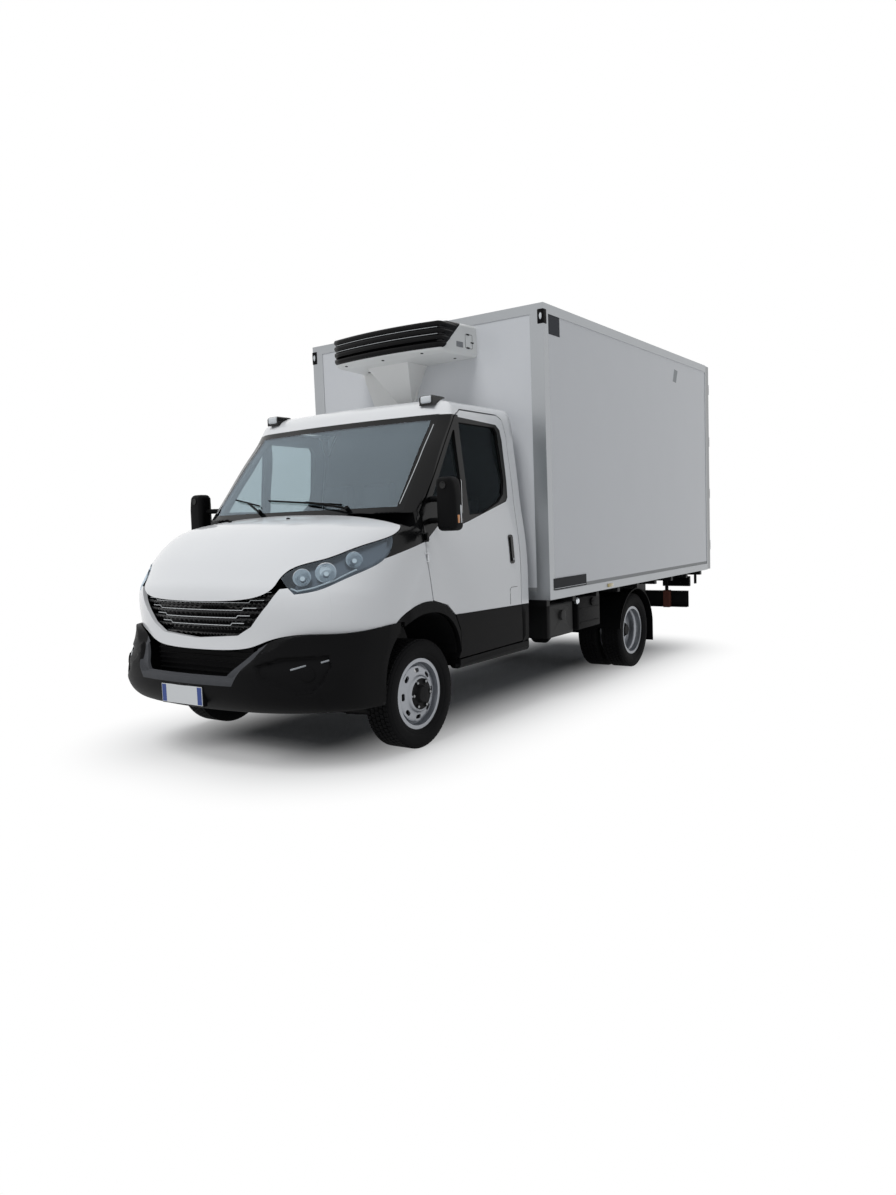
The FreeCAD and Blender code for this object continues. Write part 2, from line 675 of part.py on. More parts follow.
def knuckle():
    """Upright with its two pivot pins and the wheel spindle."""
    x = KINGPIN_X
    half = KNUCKLE_DEPTH / 2
    post = block(x - KNUCKLE_THICK / 2, x + KNUCKLE_THICK / 2, -half, half, KNUCKLE_LOW, KNUCKLE_HIGH)
    post = rounded(post, half / 2, lambda e: along(e, "x"))
    reach = ARM_JOINT_GAP + ARM_THICK
    low_pin = rod(KINGPIN_RADIUS, (x, 0, KNUCKLE_LOW - reach), (x, 0, KNUCKLE_LOW + half))
    high_pin = rod(KINGPIN_RADIUS, (x, 0, KNUCKLE_HIGH - half), (x, 0, KNUCKLE_HIGH + reach))
    end = FRONT_WHEEL_X + DISC_REACH - RIM_WALL
    spindle = rod(SPINDLE_RADIUS, (x, 0, TYRE_RADIUS), (end, 0, TYRE_RADIUS))
    flange = rod(HUB_RADIUS, (x + KNUCKLE_THICK / 2 - RIM_WALL, 0, TYRE_RADIUS),
                 (FRONT_WHEEL_X - RIM_HALF / 2 - ARM_JOINT_GAP, 0, TYRE_RADIUS))
    lever = block(x - KNUCKLE_THICK / 2, x + KNUCKLE_THICK / 2, 0, LEVER_LENGTH,
                  TYRE_RADIUS - HUB_RADIUS, TYRE_RADIUS - HUB_RADIUS + ARM_THICK)
    return joined([post, low_pin, high_pin, spindle, flange, lever])


def wishbone(level, spread):
    """Flat suspension arm from two roots on the cross beam to the eye round the pin."""
    x = KINGPIN_X
    eye = Part.makeCylinder(ARM_EYE_RADIUS, ARM_THICK, V(x, 0, level))
    legs = []
    for side in (-1, 1):
        root = side * spread
        legs.append(prism([(ARM_ROOT_X, root - ARM_ROOT_HALF), (ARM_ROOT_X, root + ARM_ROOT_HALF),
                           (x, ARM_TIP_HALF), (x, -ARM_TIP_HALF)], "z", level, level + ARM_THICK))
    bore = Part.makeCylinder(KINGPIN_RADIUS + PIN_CLEARANCE, ARM_THICK + 2 * OVERRUN,
                             V(x, 0, level - OVERRUN))
    return joined([eye] + legs).cut(bore)


def front_suspension():
    """Cross beam with lower and upper arms and dampers."""
    low = KNUCKLE_LOW - ARM_JOINT_GAP - ARM_THICK
    high = KNUCKLE_HIGH + ARM_JOINT_GAP
    half = CROSS_BEAM_DEPTH / 2
    beam = block(-ARM_ROOT_X, ARM_ROOT_X, -half, half, low, low + CROSS_BEAM_HEIGHT)
    beam = rounded(beam, ARM_THICK, lambda e: along(e, "x"))
    parts = [beam]
    for side in (1, -1):
        towers = [block(ARM_ROOT_X - RAIL_FLANGE, ARM_ROOT_X, -half, half, low + ARM_THICK,
                        RAIL_BOTTOM)]
        towers.append(wishbone(low, half - ARM_THICK))
        towers.append(wishbone(high, half - ARM_THICK))
        towers.append(rod(DAMPER_RADIUS, (DAMPER_X, 0, low + ARM_THICK / 2),
                          (DAMPER_X, 0, high + ARM_THICK / 2)))
        parts += towers if side == 1 else [mirrored(t) for t in towers]
    return joined(parts)


def rear_axle():
    """Axle tube turned with its bowl, and the two hub spindles."""
    half = AXLE_BOWL_THICK / 2
    tube_end = TWIN_INNER_X - ARM_JOINT_GAP
    right = [(half / 2, AXLE_BOWL_RADIUS), (half, AXLE_THROAT_RADIUS),
             (half + AXLE_CONE_LENGTH, AXLE_TUBE_RADIUS), (tube_end, AXLE_TUBE_RADIUS), (tube_end, 0)]
    axle = revolved([(-x, r) for x, r in reversed(right)] + right)
    spindle_end = TWIN_OUTER_X - RIM_WALL
    axle = joined([axle, rod(SPINDLE_RADIUS, (-spindle_end, 0, 0), (spindle_end, 0, 0))])
    return axle.translated(V(0, WHEELBASE, TYRE_RADIUS))


def leaf_spring():
    """Curved leaves of falling length between two hangers."""
    x0 = SPRING_X - SPRING_WIDTH / 2
    base = TYRE_RADIUS + AXLE_TUBE_RADIUS
    radius = (SPRING_HALF ** 2 + SPRING_CAMBER ** 2) / (2 * SPRING_CAMBER)
    parts = []
    for i in range(SPRING_LEAVES):
        reach = SPRING_HALF * (1 - SPRING_STEP_SHARE * (SPRING_LEAVES - 1 - i))
        low = base + i * SPRING_LEAF
        centre = V(x0, WHEELBASE, low + radius)
        ring = Part.makeCylinder(radius, SPRING_WIDTH, centre, V(1, 0, 0))
        ring = ring.cut(Part.makeCylinder(radius - SPRING_LEAF, SPRING_WIDTH, centre, V(1, 0, 0)))
        keep = block(x0 - OVERRUN, x0 + SPRING_WIDTH + OVERRUN, WHEELBASE - reach, WHEELBASE + reach,
                     low - OVERRUN, low + 2 * SPRING_CAMBER)
        parts.append(ring.common(keep))
    eye_z = base + (SPRING_LEAVES - 1) * SPRING_LEAF + SPRING_CAMBER
    for side in (-1, 1):
        y = WHEELBASE + side * SPRING_HALF
        parts.append(block(RAIL_OUTSIDE, SPRING_X + HANGER_WIDTH / 2, y - HANGER_LENGTH / 2,
                           y + HANGER_LENGTH / 2, eye_z - SPRING_LEAF, RAIL_TOP - SPRING_LEAF))
    return joined(parts)


# Frame and drive

def rail():
    """One channel rail of the ladder frame."""
    outside = RAIL_OUTSIDE
    web = outside - RAIL_WALL
    inside = outside - RAIL_FLANGE
    section = [(outside, RAIL_BOTTOM), (outside, RAIL_TOP), (inside, RAIL_TOP),
               (inside, RAIL_TOP - RAIL_WALL), (web, RAIL_TOP - RAIL_WALL),
               (web, RAIL_BOTTOM + RAIL_WALL), (inside, RAIL_BOTTOM + RAIL_WALL),
               (inside, RAIL_BOTTOM)]
    return prism(section, "y", RAIL_FRONT, RAIL_REAR)


def ladder_frame():
    """Two rails and their cross tubes."""
    parts = [rail(), mirrored(rail())]
    z = (RAIL_BOTTOM + RAIL_TOP) / 2
    reach = RAIL_OUTSIDE - RAIL_WALL / 2
    for share in CROSS_PLACE_SHARES:
        y = RAIL_FRONT + share * (RAIL_REAR - RAIL_FRONT)
        parts.append(rod(CROSS_RADIUS, (-reach, y, z), (reach, y, z)))
    return joined(parts)


def engine_block():
    """Engine as one plain rounded block on two feet between the rails."""
    body = block(-ENGINE_HALF, ENGINE_HALF, ENGINE_FRONT, ENGINE_REAR, ENGINE_LOW, ENGINE_HIGH)
    body = rounded(body, ENGINE_CORNER, lambda e: along(e, "y"))
    reach = RAIL_OUTSIDE - RAIL_WALL - SEAT_GAP
    feet = block(-reach, reach, ENGINE_FOOT_Y, ENGINE_FOOT_Y + ENGINE_FOOT_LENGTH, ENGINE_FOOT_LOW,
                 ENGINE_FOOT_LOW + ENGINE_FOOT_HEIGHT)
    return joined([body, feet])


def driveline():
    """Gearbox and propeller shaft from the engine to the rear axle."""
    gearbox = Part.makeCone(GEARBOX_RADIUS, GEARBOX_END_RADIUS, GEARBOX_LENGTH,
                            V(0, ENGINE_REAR, DRIVE_Z + CROSS_RADIUS), V(0, 1, 0))
    start = V(0, ENGINE_REAR + GEARBOX_LENGTH - OVERRUN, DRIVE_Z)
    end = V(0, WHEELBASE - AXLE_BOWL_RADIUS - SPRING_LEAF, TYRE_RADIUS)
    shaft = Part.makeCylinder(PROP_RADIUS, (end - start).Length, start, end - start)
    return joined([gearbox, shaft])


# Cab skin

def swept_skin(line, plan, drops, half, rear, low):
    """Side profiles set along a plan curve, from one side of the truck to the other."""
    wires = []
    stations = [(-x, s, d) for (x, s), d in zip(plan, drops)][:0:-1]
    stations += [(x, s, d) for (x, s), d in zip(plan, drops)]
    for x, back, drop in stations:
        points = [V(x * half, y + back, z - drop) for y, z in line]
        end_top = V(x * half, rear, points[-1].z)
        corners = [points[-1], end_top, V(x * half, rear, low), V(x * half, points[0].y, low), points[0]]
        lines = [Part.makeLine(a, b) for a, b in zip(corners, corners[1:]) if (b - a).Length > 0]
        wires.append(Part.Wire([spline(points)] + lines))
    return Part.makeLoft(wires, True, False)


@functools.lru_cache(maxsize=None)
def nose_form():
    """Bonnet and nose, the centre line carried round the plan curve."""
    line = [(NOSE_FRONT + y * NOSE_DEPTH, z * NOSE_HEIGHT) for y, z in NOSE_LINE_SHARES]
    plan = [(x, s * NOSE_DEPTH) for x, s in NOSE_PLAN_SHARES]
    drops = [d * NOSE_HEIGHT for d in NOSE_DROP_SHARES]
    return swept_skin(line, plan, drops, CAB_HALF, CAB_REAR, NOSE_LOW - OVERRUN)


def nose_skin(inset):
    """The nose drawn back and down by an inset."""
    return nose_form().translated(V(0, inset, -inset * NOSE_SINK_SHARE))


@functools.lru_cache(maxsize=None)
def screen_form():
    """Windscreen and roof, the centre line carried round the plan curve."""
    run = V(0, SCREEN_HEAD_Y - SCREEN_FOOT_Y, SCREEN_HEAD_Z - SCREEN_FOOT_Z)
    line = [(SCREEN_FOOT_Y + run.y * t, SCREEN_FOOT_Z + run.z * t) for t in SCREEN_LINE_SHARES]
    line += [(SCREEN_HEAD_Y + y * (CAB_REAR - SCREEN_HEAD_Y), CAB_ROOF * z) for y, z in ROOF_LINE_SHARES]
    plan = [(x, s * SCREEN_WRAP) for x, s in SCREEN_PLAN_SHARES]
    return swept_skin(line, plan, [0] * len(plan), CAB_HALF, CAB_REAR + OVERRUN, SKIN_LOW)


def screen_skin(inset):
    """The windscreen and roof drawn back and down by an inset."""
    return screen_form().translated(V(0, inset * SCREEN_BACK_SHARE, -inset))


@functools.lru_cache(maxsize=None)
def side_skin(inset):
    """The cab's section seen from the front, drawn out along the truck."""
    right = [V((x * CAB_HALF - inset), 0, z * CAB_ROOF - (inset if z > ROOF_TURN_SHARE else 0))
             for x, z in CAB_SIDE_SHARES]
    crown = V(0, 0, CAB_ROOF + ROOF_CROWN - inset)
    left = [V(-p.x, p.y, p.z) for p in reversed(right)]
    foot = [left[-1], V(left[-1].x, 0, SKIN_LOW), V(right[0].x, 0, SKIN_LOW), right[0]]
    face = Part.Face(Part.Wire([spline(right + [crown] + left), Part.makePolygon(foot)]))
    face.translate(V(0, NOSE_FRONT - OVERRUN, 0))
    return face.extrude(V(0, CAB_REAR - NOSE_FRONT + OVERRUN, 0))


@functools.lru_cache(maxsize=None)
def lower_skin(inset):
    """Nose and lower cab as one closed form."""
    return nose_skin(inset).common(side_skin(inset))


@functools.lru_cache(maxsize=None)
def cab_skin(inset):
    """Greenhouse and cab body behind the bonnet as one closed form, drawn in by an inset."""
    return screen_skin(inset).common(side_skin(inset))


def side_points(shares):
    """Places in the side view from shares of wheelbase and roof height."""
    return [(y * WHEELBASE, z * CAB_ROOF) for y, z in shares]


def side_prism(points, low=-CAB_HALF - OVERRUN, high=CAB_HALF + OVERRUN):
    """A side view outline drawn across the truck."""
    return prism(points, "x", low, high)


def grown(points, amount):
    """An outline moved outward from its middle by an amount."""
    cy = sum(p[0] for p in points) / len(points)
    cz = sum(p[1] for p in points) / len(points)
    out = []
    for y, z in points:
        reach = math.hypot(y - cy, z - cz)
        out.append((y + (y - cy) * amount / reach, z + (z - cz) * amount / reach))
    return out


def line_prism(shares, above, past=0, height=NOSE_HEIGHT):
    """Everything above or below a smooth line in the side view, across the truck."""
    reach = CAB_HALF + OVERRUN
    line = [V(-reach, y * WHEELBASE, z * height) for y, z in shares]
    far = CAB_ROOF + OVERRUN if above else -OVERRUN
    front = -FRONT_REACH - 2 * OVERRUN
    end = line[-1].y + past
    corners = [line[-1], V(-reach, end, line[-1].z), V(-reach, end, far), V(-reach, front, far),
               V(-reach, front, line[0].z), line[0]]
    corners = [a for a, b in zip(corners, [None] + corners) if a != b]
    face = Part.Face(Part.Wire([spline(line), Part.makePolygon(corners)]))
    return face.extrude(V(2 * reach, 0, 0))


def lifted(shares, amount):
    """A table of shares with its height moved by a length."""
    return [(y, z + amount / NOSE_HEIGHT) for y, z in shares]


def screen_outline(inset):
    """Corners of the windscreen seen from the front."""
    foot = SCREEN_HALF_FOOT - inset
    head = SCREEN_HALF_HEAD - inset
    return [(-foot, SCREEN_CORNER_FOOT + inset), (foot, SCREEN_CORNER_FOOT + inset),
            (head, SCREEN_CORNER_HEAD - inset), (-head, SCREEN_CORNER_HEAD - inset)]


def screen_prism(inset):
    """The windscreen opening drawn back from the front."""
    return prism(screen_outline(inset), "y", NOSE_FRONT, DASH_REAR + SCREEN_HEAD_Y)


def windscreen():
    """Glass that follows the skin, just inside its opening."""
    sheet = screen_skin(0).common(screen_prism(SEAT_GAP)).cut(screen_skin(SCREEN_THICK))
    return solids_of(sheet)[0]


def bonnet():
    """Bonnet shell with its front lip, clear of the windscreen's foot."""
    region = line_prism(lifted(BONNET_LINE_SHARES, SHUT_GAP / 2), True)
    shell = lower_skin(0).common(region).cut(nose_skin(BONNET_WALL).common(side_skin(BONNET_WALL)))
    shell = solids_of(shell.cut(screen_skin(-COWL_GAP)))[0]
    return joined([shell, bonnet_lug(), mirrored(bonnet_lug())])


def bonnet_lug():
    """Left hinge eye of the bonnet on its arm."""
    x0 = BONNET_HINGE_X - BONNET_EYE_HALF
    x1 = BONNET_HINGE_X + BONNET_EYE_HALF
    y = BONNET_HINGE_Y
    z = BONNET_HINGE_Z
    eye = rod(BONNET_EYE_RADIUS, (x0, y, z), (x1, y, z))
    arm = block(x0, x1, y - BONNET_ARM_LENGTH, y, z - BONNET_EYE_RADIUS, z)
    return joined([eye, arm]).cut(rod(BONNET_PIN_RADIUS + PIN_CLEARANCE, (0, y, z), (CAB_HALF, y, z)))


def bonnet_pin():
    """Two ears under the windscreen's foot with the left hinge pin between them."""
    y = BONNET_HINGE_Y
    z = BONNET_HINGE_Z
    near = BONNET_EYE_HALF + BONNET_EAR_GAP
    far = near + BONNET_EAR_THICK
    parts = [rod(BONNET_PIN_RADIUS, (BONNET_HINGE_X - far, y, z), (BONNET_HINGE_X + far, y, z))]
    for low in (BONNET_HINGE_X - far, BONNET_HINGE_X + near):
        parts.append(block(low, low + BONNET_EAR_THICK, y - BONNET_EAR_FRONT, y + BONNET_EAR_REACH,
                           z - BONNET_EYE_RADIUS, z + BONNET_EYE_RADIUS))
    return parts


def lamp_front_view(gap):
    """Inner bound of the headlamp seen from the front."""
    return [(LAMP_INNER_TOP - gap, NOSE_HEIGHT), (LAMP_INNER_TOP - gap, LAMP_INNER_HIGH),
            (LAMP_INNER_FOOT - gap, LAMP_INNER_LOW - gap), (CAB_HALF + OVERRUN, LAMP_INNER_LOW - gap),
            (CAB_HALF + OVERRUN, NOSE_HEIGHT)]


def lamp_region(gap):
    """Space that a headlamp takes, grown by a gap."""
    side = line_prism(lifted(LAMP_LOW_SHARES, -gap), True, gap)
    return side.common(prism(lamp_front_view(gap), "y", NOSE_FRONT - OVERRUN, 0))


def headlamps():
    """Two swept lamps flush with the nose."""
    body = lamp_region(0).cut(line_prism(lifted(BONNET_LINE_SHARES, -SHUT_GAP / 2), True))
    body = body.common(nose_skin(SEAT_GAP)).common(side_skin(SEAT_GAP))
    core = nose_skin(LAMP_DEPTH).common(side_skin(LAMP_DEPTH))
    return pair(solids_of(body.cut(core))[0])


def arch_prism(grow, low, high):
    """Wheel arch outline grown by a margin, drawn across."""
    points = [V(low, y, z) for y, z in grown(side_points(ARCH_SHARES), grow)]
    foot = [points[-1], V(low, points[-1].y, 0), V(low, points[0].y, 0), points[0]]
    face = Part.Face(Part.Wire([spline(points), Part.makePolygon(foot)]))
    return face.extrude(V(high - low, 0, 0))


def door_eye(radius, low, high):
    """A round bar on the axis of the left door."""
    return rod(radius, (DOOR_PIN_X, DOOR_PIN_Y, low), (DOOR_PIN_X, DOOR_PIN_Y, high))


def door_hinge_space(half):
    """Room round both hinges of the left door, each of a half height."""
    return Part.makeCompound([door_eye(DOOR_HINGE_SPACE, z - half, z + half) for z in DOOR_HINGE_LEVELS])


def door_ears():
    """Ears and pins of the left door's hinges, rooted in the wing."""
    parts = []
    near = DOOR_EYE_HALF + DOOR_EAR_GAP
    for z in DOOR_HINGE_LEVELS:
        for low in (z - near - DOOR_EAR_THICK, z + near):
            parts.append(door_eye(DOOR_EYE_RADIUS, low, low + DOOR_EAR_THICK))
            root_y = DOOR_PIN_Y - DOOR_EYE_RADIUS - DOOR_EAR_DEPTH
            parts.append(block(DOOR_PIN_X - DOOR_EAR_ROOT, DOOR_PIN_X, root_y, DOOR_PIN_Y, low,
                               low + DOOR_EAR_THICK))
        parts.append(door_eye(DOOR_PIN_RADIUS, z - near - DOOR_EAR_THICK, z + near + DOOR_EAR_THICK))
    return parts


def door_leaves():
    """Hinge barrels of the left door and the leaves that hold them."""
    parts = []
    for z in DOOR_HINGE_LEVELS:
        parts.append(door_eye(DOOR_EYE_RADIUS, z - DOOR_EYE_HALF, z + DOOR_EYE_HALF))
        parts.append(block(DOOR_PIN_X - DOOR_EAR_ROOT, DOOR_PIN_X, DOOR_PIN_Y, DOOR_PIN_Y + DOOR_LEAF_DEPTH,
                           z - DOOR_EYE_HALF, z + DOOR_EYE_HALF))
    return parts


def front_panels():
    """Nose panel round the grille and the two wings behind its seams."""
    reach = CAB_HALF + OVERRUN
    zone = block(-reach, reach, NOSE_FRONT - OVERRUN, DOOR_FRONT, CAB_LOW, NOSE_HEIGHT)
    shell = lower_skin(0).common(zone)
    shell = shell.cut(nose_skin(BONNET_WALL).common(side_skin(BONNET_WALL)))
    shell = shell.cut(line_prism(lifted(BONNET_LINE_SHARES, -SHUT_GAP / 2), True, SHUT_GAP))
    shell = shell.cut(line_prism(BODY_LINE_SHARES, False))
    lamp = lamp_region(SEAT_GAP)
    opening = prism(grille_outline(0), "y", NOSE_FRONT - OVERRUN, 0)
    ahead = block(-reach, reach, NOSE_FRONT - OVERRUN, WING_SEAM - SEAT_GAP / 2, 0, CAB_ROOF)
    nose = shell.common(ahead).cut(opening).cut(lamp).cut(mirrored(lamp))
    behind = block(0, reach, WING_SEAM + SEAT_GAP / 2, SCREEN_HEAD_Y, 0, CAB_ROOF)
    wing = shell.common(behind).cut(lamp).cut(side_prism(door_outline(DOOR_GAP)))
    wing = wing.cut(arch_prism(FLARE_WIDTH + SEAT_GAP, 0, reach))
    wing = wing.cut(screen_skin(-2 * SHUT_GAP).common(side_skin(BONNET_WALL + SEAT_GAP)))
    wing = joined([solids_of(wing.cut(door_hinge_space(DOOR_EYE_HALF)))[0]] + door_ears())
    return solids_of(nose)[0], pair(wing)


def grille_outline(inset):
    """Grille opening seen from the front."""
    half = [(x * CAB_HALF, z * NOSE_HEIGHT) for x, z in GRILLE_OUTLINE_SHARES]
    half = [(max(x - inset, 0), z + inset) for x, z in half]
    return half + [(-x, z) for x, z in reversed(half)]


def grille():
    """Curved bars on a backing plate, all following the nose."""
    mouth = prism(grille_outline(SEAT_GAP), "y", NOSE_FRONT - OVERRUN, GRILLE_REAR)
    mouth = mouth.cut(line_prism(lifted(BONNET_LINE_SHARES, -SHUT_GAP / 2), True))
    lamp = lamp_region(SEAT_GAP)
    mouth = mouth.cut(lamp).cut(mirrored(lamp))
    plate = mouth.common(nose_skin(GRILLE_RECESS)).cut(nose_skin(GRILLE_RECESS + GRILLE_PLATE))
    pitch = (GRILLE_HIGH - GRILLE_LOW) / GRILLE_BARS
    slabs = []
    for i in range(GRILLE_BARS):
        low = GRILLE_LOW + (i + GRILLE_START_SHARE) * pitch
        slabs.append(block(-CAB_HALF, CAB_HALF, NOSE_FRONT - OVERRUN, 0, low, low + GRILLE_BAR_HEIGHT))
    bars = mouth.common(Part.makeCompound(slabs)).common(nose_skin(GRILLE_RECESS - GRILLE_BAR_DEPTH))
    bars = bars.cut(nose_skin(GRILLE_RECESS + GRILLE_PLATE / 2))
    return joined([plate] + bars.Solids)


def door_outline(gap):
    """Door shut line in the side view, grown by a gap."""
    return grown(side_points(DOOR_LINE_SHARES), gap)


def glass_prism(shares, inset):
    """Side window outline drawn across the left half."""
    return side_prism(grown(side_points(shares), -inset), 0)


def door():
    """Whole door as thick as the real one below its window, slimmer round the glass."""
    outline = side_prism(door_outline(0), 0)
    belt = WAIST_SHARE * CAB_ROOF
    reach = CAB_HALF + OVERRUN
    outer = cab_skin(0).common(outline)
    low = outer.common(block(0, reach, NOSE_FRONT, CAB_REAR, 0, belt)).cut(side_skin(DOOR_WALL))
    high = outer.common(block(0, reach, NOSE_FRONT, CAB_REAR, belt, CAB_ROOF)).cut(side_skin(DOOR_FRAME))
    below = line_prism(CLADDING_TOP_SHARES, False, 0, CAB_ROOF)
    proud = outline.common(below).common(side_skin(-CLADDING_PROUD))
    leaf = joined([low, high, proud.cut(side_skin(CLADDING_PROUD))])
    leaf = leaf.cut(glass_prism(WINDOW_SHARES, 0)).cut(glass_prism(QUARTER_SHARES, 0))
    ears_half = DOOR_EYE_HALF + 2 * DOOR_EAR_GAP + DOOR_EAR_THICK
    leaf = solids_of(leaf.cut(door_hinge_space(ears_half)))[0]
    low = min(DOOR_HINGE_LEVELS) - DOOR_EYE_HALF
    high = max(DOOR_HINGE_LEVELS) + DOOR_EYE_HALF
    return joined([leaf] + door_leaves()).cut(door_eye(DOOR_PIN_RADIUS + PIN_CLEARANCE, low, high))


def door_glass():
    """Window and quarter light, set in the door frame."""
    sheet = side_skin(GLASS_INSET).cut(side_skin(GLASS_INSET + SCREEN_THICK))
    panes = [sheet.common(glass_prism(shares, SEAT_GAP)) for shares in (WINDOW_SHARES, QUARTER_SHARES)]
    return Part.makeCompound([solids_of(p)[0] for p in panes])


def cab_shell():
    """Roof, pillars, rear wall, floor and front bulkhead of the hollow cab."""
    reach = CAB_HALF + OVERRUN
    top = CAB_ROOF + OVERRUN
    low = SILL_HIGH + SEAT_GAP
    room = BULKHEAD + CAB_WALL
    zone = side_prism([(BULKHEAD, low), (CAB_REAR, low), (CAB_REAR, top), (SCREEN_FOOT_Y - OVERRUN, top),
                       (SCREEN_FOOT_Y - OVERRUN, BROW_LOW), (BULKHEAD, BROW_LOW)])
    space = side_prism([(room, CAB_FLOOR), (CAB_REAR - CAB_WALL, CAB_FLOOR), (CAB_REAR - CAB_WALL, top),
                        (SCREEN_FOOT_Y - OVERRUN, top), (SCREEN_FOOT_Y - OVERRUN, BROW_LOW + CAB_WALL),
                        (room, BROW_LOW + CAB_WALL)])
    shell = cab_skin(0).common(zone).cut(space.common(cab_skin(CAB_WALL)))
    shell = shell.cut(block(-SILL_INSIDE, SILL_INSIDE, 0, CAB_REAR + OVERRUN, 0, CAB_FLOOR - CAB_WALL))
    shell = shell.cut(side_prism(door_outline(DOOR_GAP)).cut(side_skin(DOOR_WALL + DOOR_GAP)))
    shell = shell.cut(screen_prism(0)).cut(arch_prism(FLARE_WIDTH, -reach, reach))
    beside_wing = block(-reach, reach, 0, DOOR_FRONT + SEAT_GAP, low, BROW_LOW)
    beside_wing = beside_wing.cut(side_skin(BONNET_WALL + SEAT_GAP)).common(nose_skin(-SEAT_GAP))
    shell = solids_of(shell.cut(beside_wing))[0]
    pins = bonnet_pin()
    return joined([shell] + pins + [mirrored(pin) for pin in pins])


@functools.lru_cache(maxsize=None)
def bumper_form():
    """Bumper as a front line carried round its plan curve."""
    height = BUMPER_HIGH - BUMPER_LOW
    line = [(-FRONT_REACH + y * BUMPER_DEPTH, BUMPER_LOW + z * height) for y, z in BUMPER_LINE_SHARES]
    plan = [(x, s * BUMPER_DEPTH) for x, s in BUMPER_PLAN_SHARES]
    return swept_skin(line, plan, [0] * len(plan), BUMPER_HALF, BUMPER_REAR, BUMPER_LOW)


def bumper_skin(inset):
    """The bumper drawn back by an inset and in from its ends."""
    if inset == 0:
        return bumper_form()
    middle = block(-BUMPER_HALF + inset, BUMPER_HALF - inset, -FRONT_REACH, 0, 0, CAB_ROOF)
    return bumper_form().translated(V(0, inset, 0)).common(middle)


def front_bumper():
    """Bumper shell with its intake, bevelled step and wheel arch cuts."""
    reach = CAB_HALF + OVERRUN
    shell = bumper_form().common(line_prism(lifted(BODY_LINE_SHARES, -SEAT_GAP), False))
    shell = shell.cut(bumper_skin(BUMPER_WALL))
    shell = shell.cut(arch_prism(0, -reach, reach))
    shell = shell.common(block(-reach, reach, -FRONT_REACH - OVERRUN, BUMPER_REAR - OVERRUN, 0, CAB_ROOF))
    mouth = [(-INTAKE_HALF_LOW, INTAKE_LOW), (INTAKE_HALF_LOW, INTAKE_LOW), (INTAKE_HALF_HIGH, INTAKE_HIGH),
             (INTAKE_HALF_HIGH, CAB_ROOF), (-INTAKE_HALF_HIGH, CAB_ROOF), (-INTAKE_HALF_HIGH, INTAKE_HIGH)]
    shell = shell.cut(prism(mouth, "y", -FRONT_REACH - OVERRUN, WING_SEAM))
    step = prism(grown(mouth[:3] + mouth[5:], STEP_WIDTH), "y", -FRONT_REACH - OVERRUN, WING_SEAM)
    step = step.cut(bumper_skin(STEP_DEPTH))
    height = BUMPER_HIGH - BUMPER_LOW
    outline = [(x * BUMPER_HALF, BUMPER_LOW + z * height) for x, z in FOG_SHARES]
    recess = prism(outline, "y", -FRONT_REACH - OVERRUN, BUMPER_REAR).cut(bumper_skin(FOG_DEPTH))
    return solids_of(shell.cut(step).cut(recess).cut(mirrored(recess)))[0]


def cladding():
    """Black wheel arch flares ahead of the doors and the sills below them."""
    reach = CAB_HALF + OVERRUN
    ring = arch_prism(FLARE_WIDTH, 0, reach).cut(arch_prism(0, 0, reach))
    ring = ring.cut(line_prism(BODY_LINE_SHARES, False)).cut(side_prism(door_outline(DOOR_GAP)))
    flare = ring.common(lower_skin(-FLARE_PROUD)).cut(lower_skin(CLADDING_WALL))
    flare = solids_of(flare)[0]
    sill = block(CAB_HALF - SILL_DEPTH, CAB_HALF - FLARE_PROUD, SILL_FRONT, CAB_REAR - SHUT_GAP, SILL_LOW,
                 SILL_HIGH)
    sill = rounded(sill, SILL_DEPTH / 3, lambda e: along(e, "y") and e.CenterOfMass.z < SILL_HIGH - SEAT_GAP)
    sill = solids_of(sill.cut(side_prism(door_outline(DOOR_GAP))))[0]
    return Part.makeCompound([flare, mirrored(flare), sill, mirrored(sill)])


def arch_liners():
    """Curved inner liners over the front wheels."""
    ring = arch_prism(0, LINER_INSIDE, LINER_OUTSIDE).cut(arch_prism(-LINER_WALL, 0, CAB_HALF + OVERRUN))
    ring = ring.common(block(0, CAB_HALF, NOSE_FRONT, DASH_REAR, LINER_LOW, CAB_ROOF))
    return pair(solids_of(ring)[0])


def mirror():
    """Mirror head on two arms from the front of the door."""
    head = block(MIRROR_INSIDE, MIRROR_OUTSIDE, MIRROR_FRONT, MIRROR_FRONT + MIRROR_DEPTH, MIRROR_LOW,
                 MIRROR_HIGH)
    head = rounded(head, MIRROR_ROUND, lambda e: along(e, "z") or e.CenterOfMass.y < MIRROR_FRONT + SEAT_GAP)
    parts = [head]
    low_y = MIRROR_FRONT + MIRROR_DEPTH - MIRROR_ARM_DEPTH
    for level in MIRROR_ARM_LEVELS:
        root = MIRROR_ROOT_Y + (level - MIRROR_ARM_LEVELS[0]) * MIRROR_ROOT_SLOPE
        parts.append(prism([(MIRROR_ROOT, root), (MIRROR_INSIDE + MIRROR_ROUND, low_y),
                            (MIRROR_INSIDE + MIRROR_ROUND, low_y + MIRROR_ARM_DEPTH),
                            (MIRROR_ROOT, root + MIRROR_ARM_DEPTH)],
                           "z", level, level + MIRROR_ARM_HEIGHT))
    return solids_of(joined(parts).cut(side_skin(-SEAT_GAP)))[0]


def dashboard():
    """Dashboard with a rounded top edge."""
    points = [(DASH_FRONT, DASH_LOW), (DASH_REAR, DASH_LOW), (DASH_REAR, DASH_HIGH - DASH_SLOPE),
              (DASH_REAR - DASH_SLOPE, DASH_HIGH), (DASH_FRONT, DASH_HIGH)]
    body = prism(points, "x", -DASH_HALF, DASH_HALF)
    rear = DASH_FRONT + SEAT_GAP
    return rounded(body, DASH_SLOPE / 3, lambda e: along(e, "x") and e.CenterOfMass.y > rear)


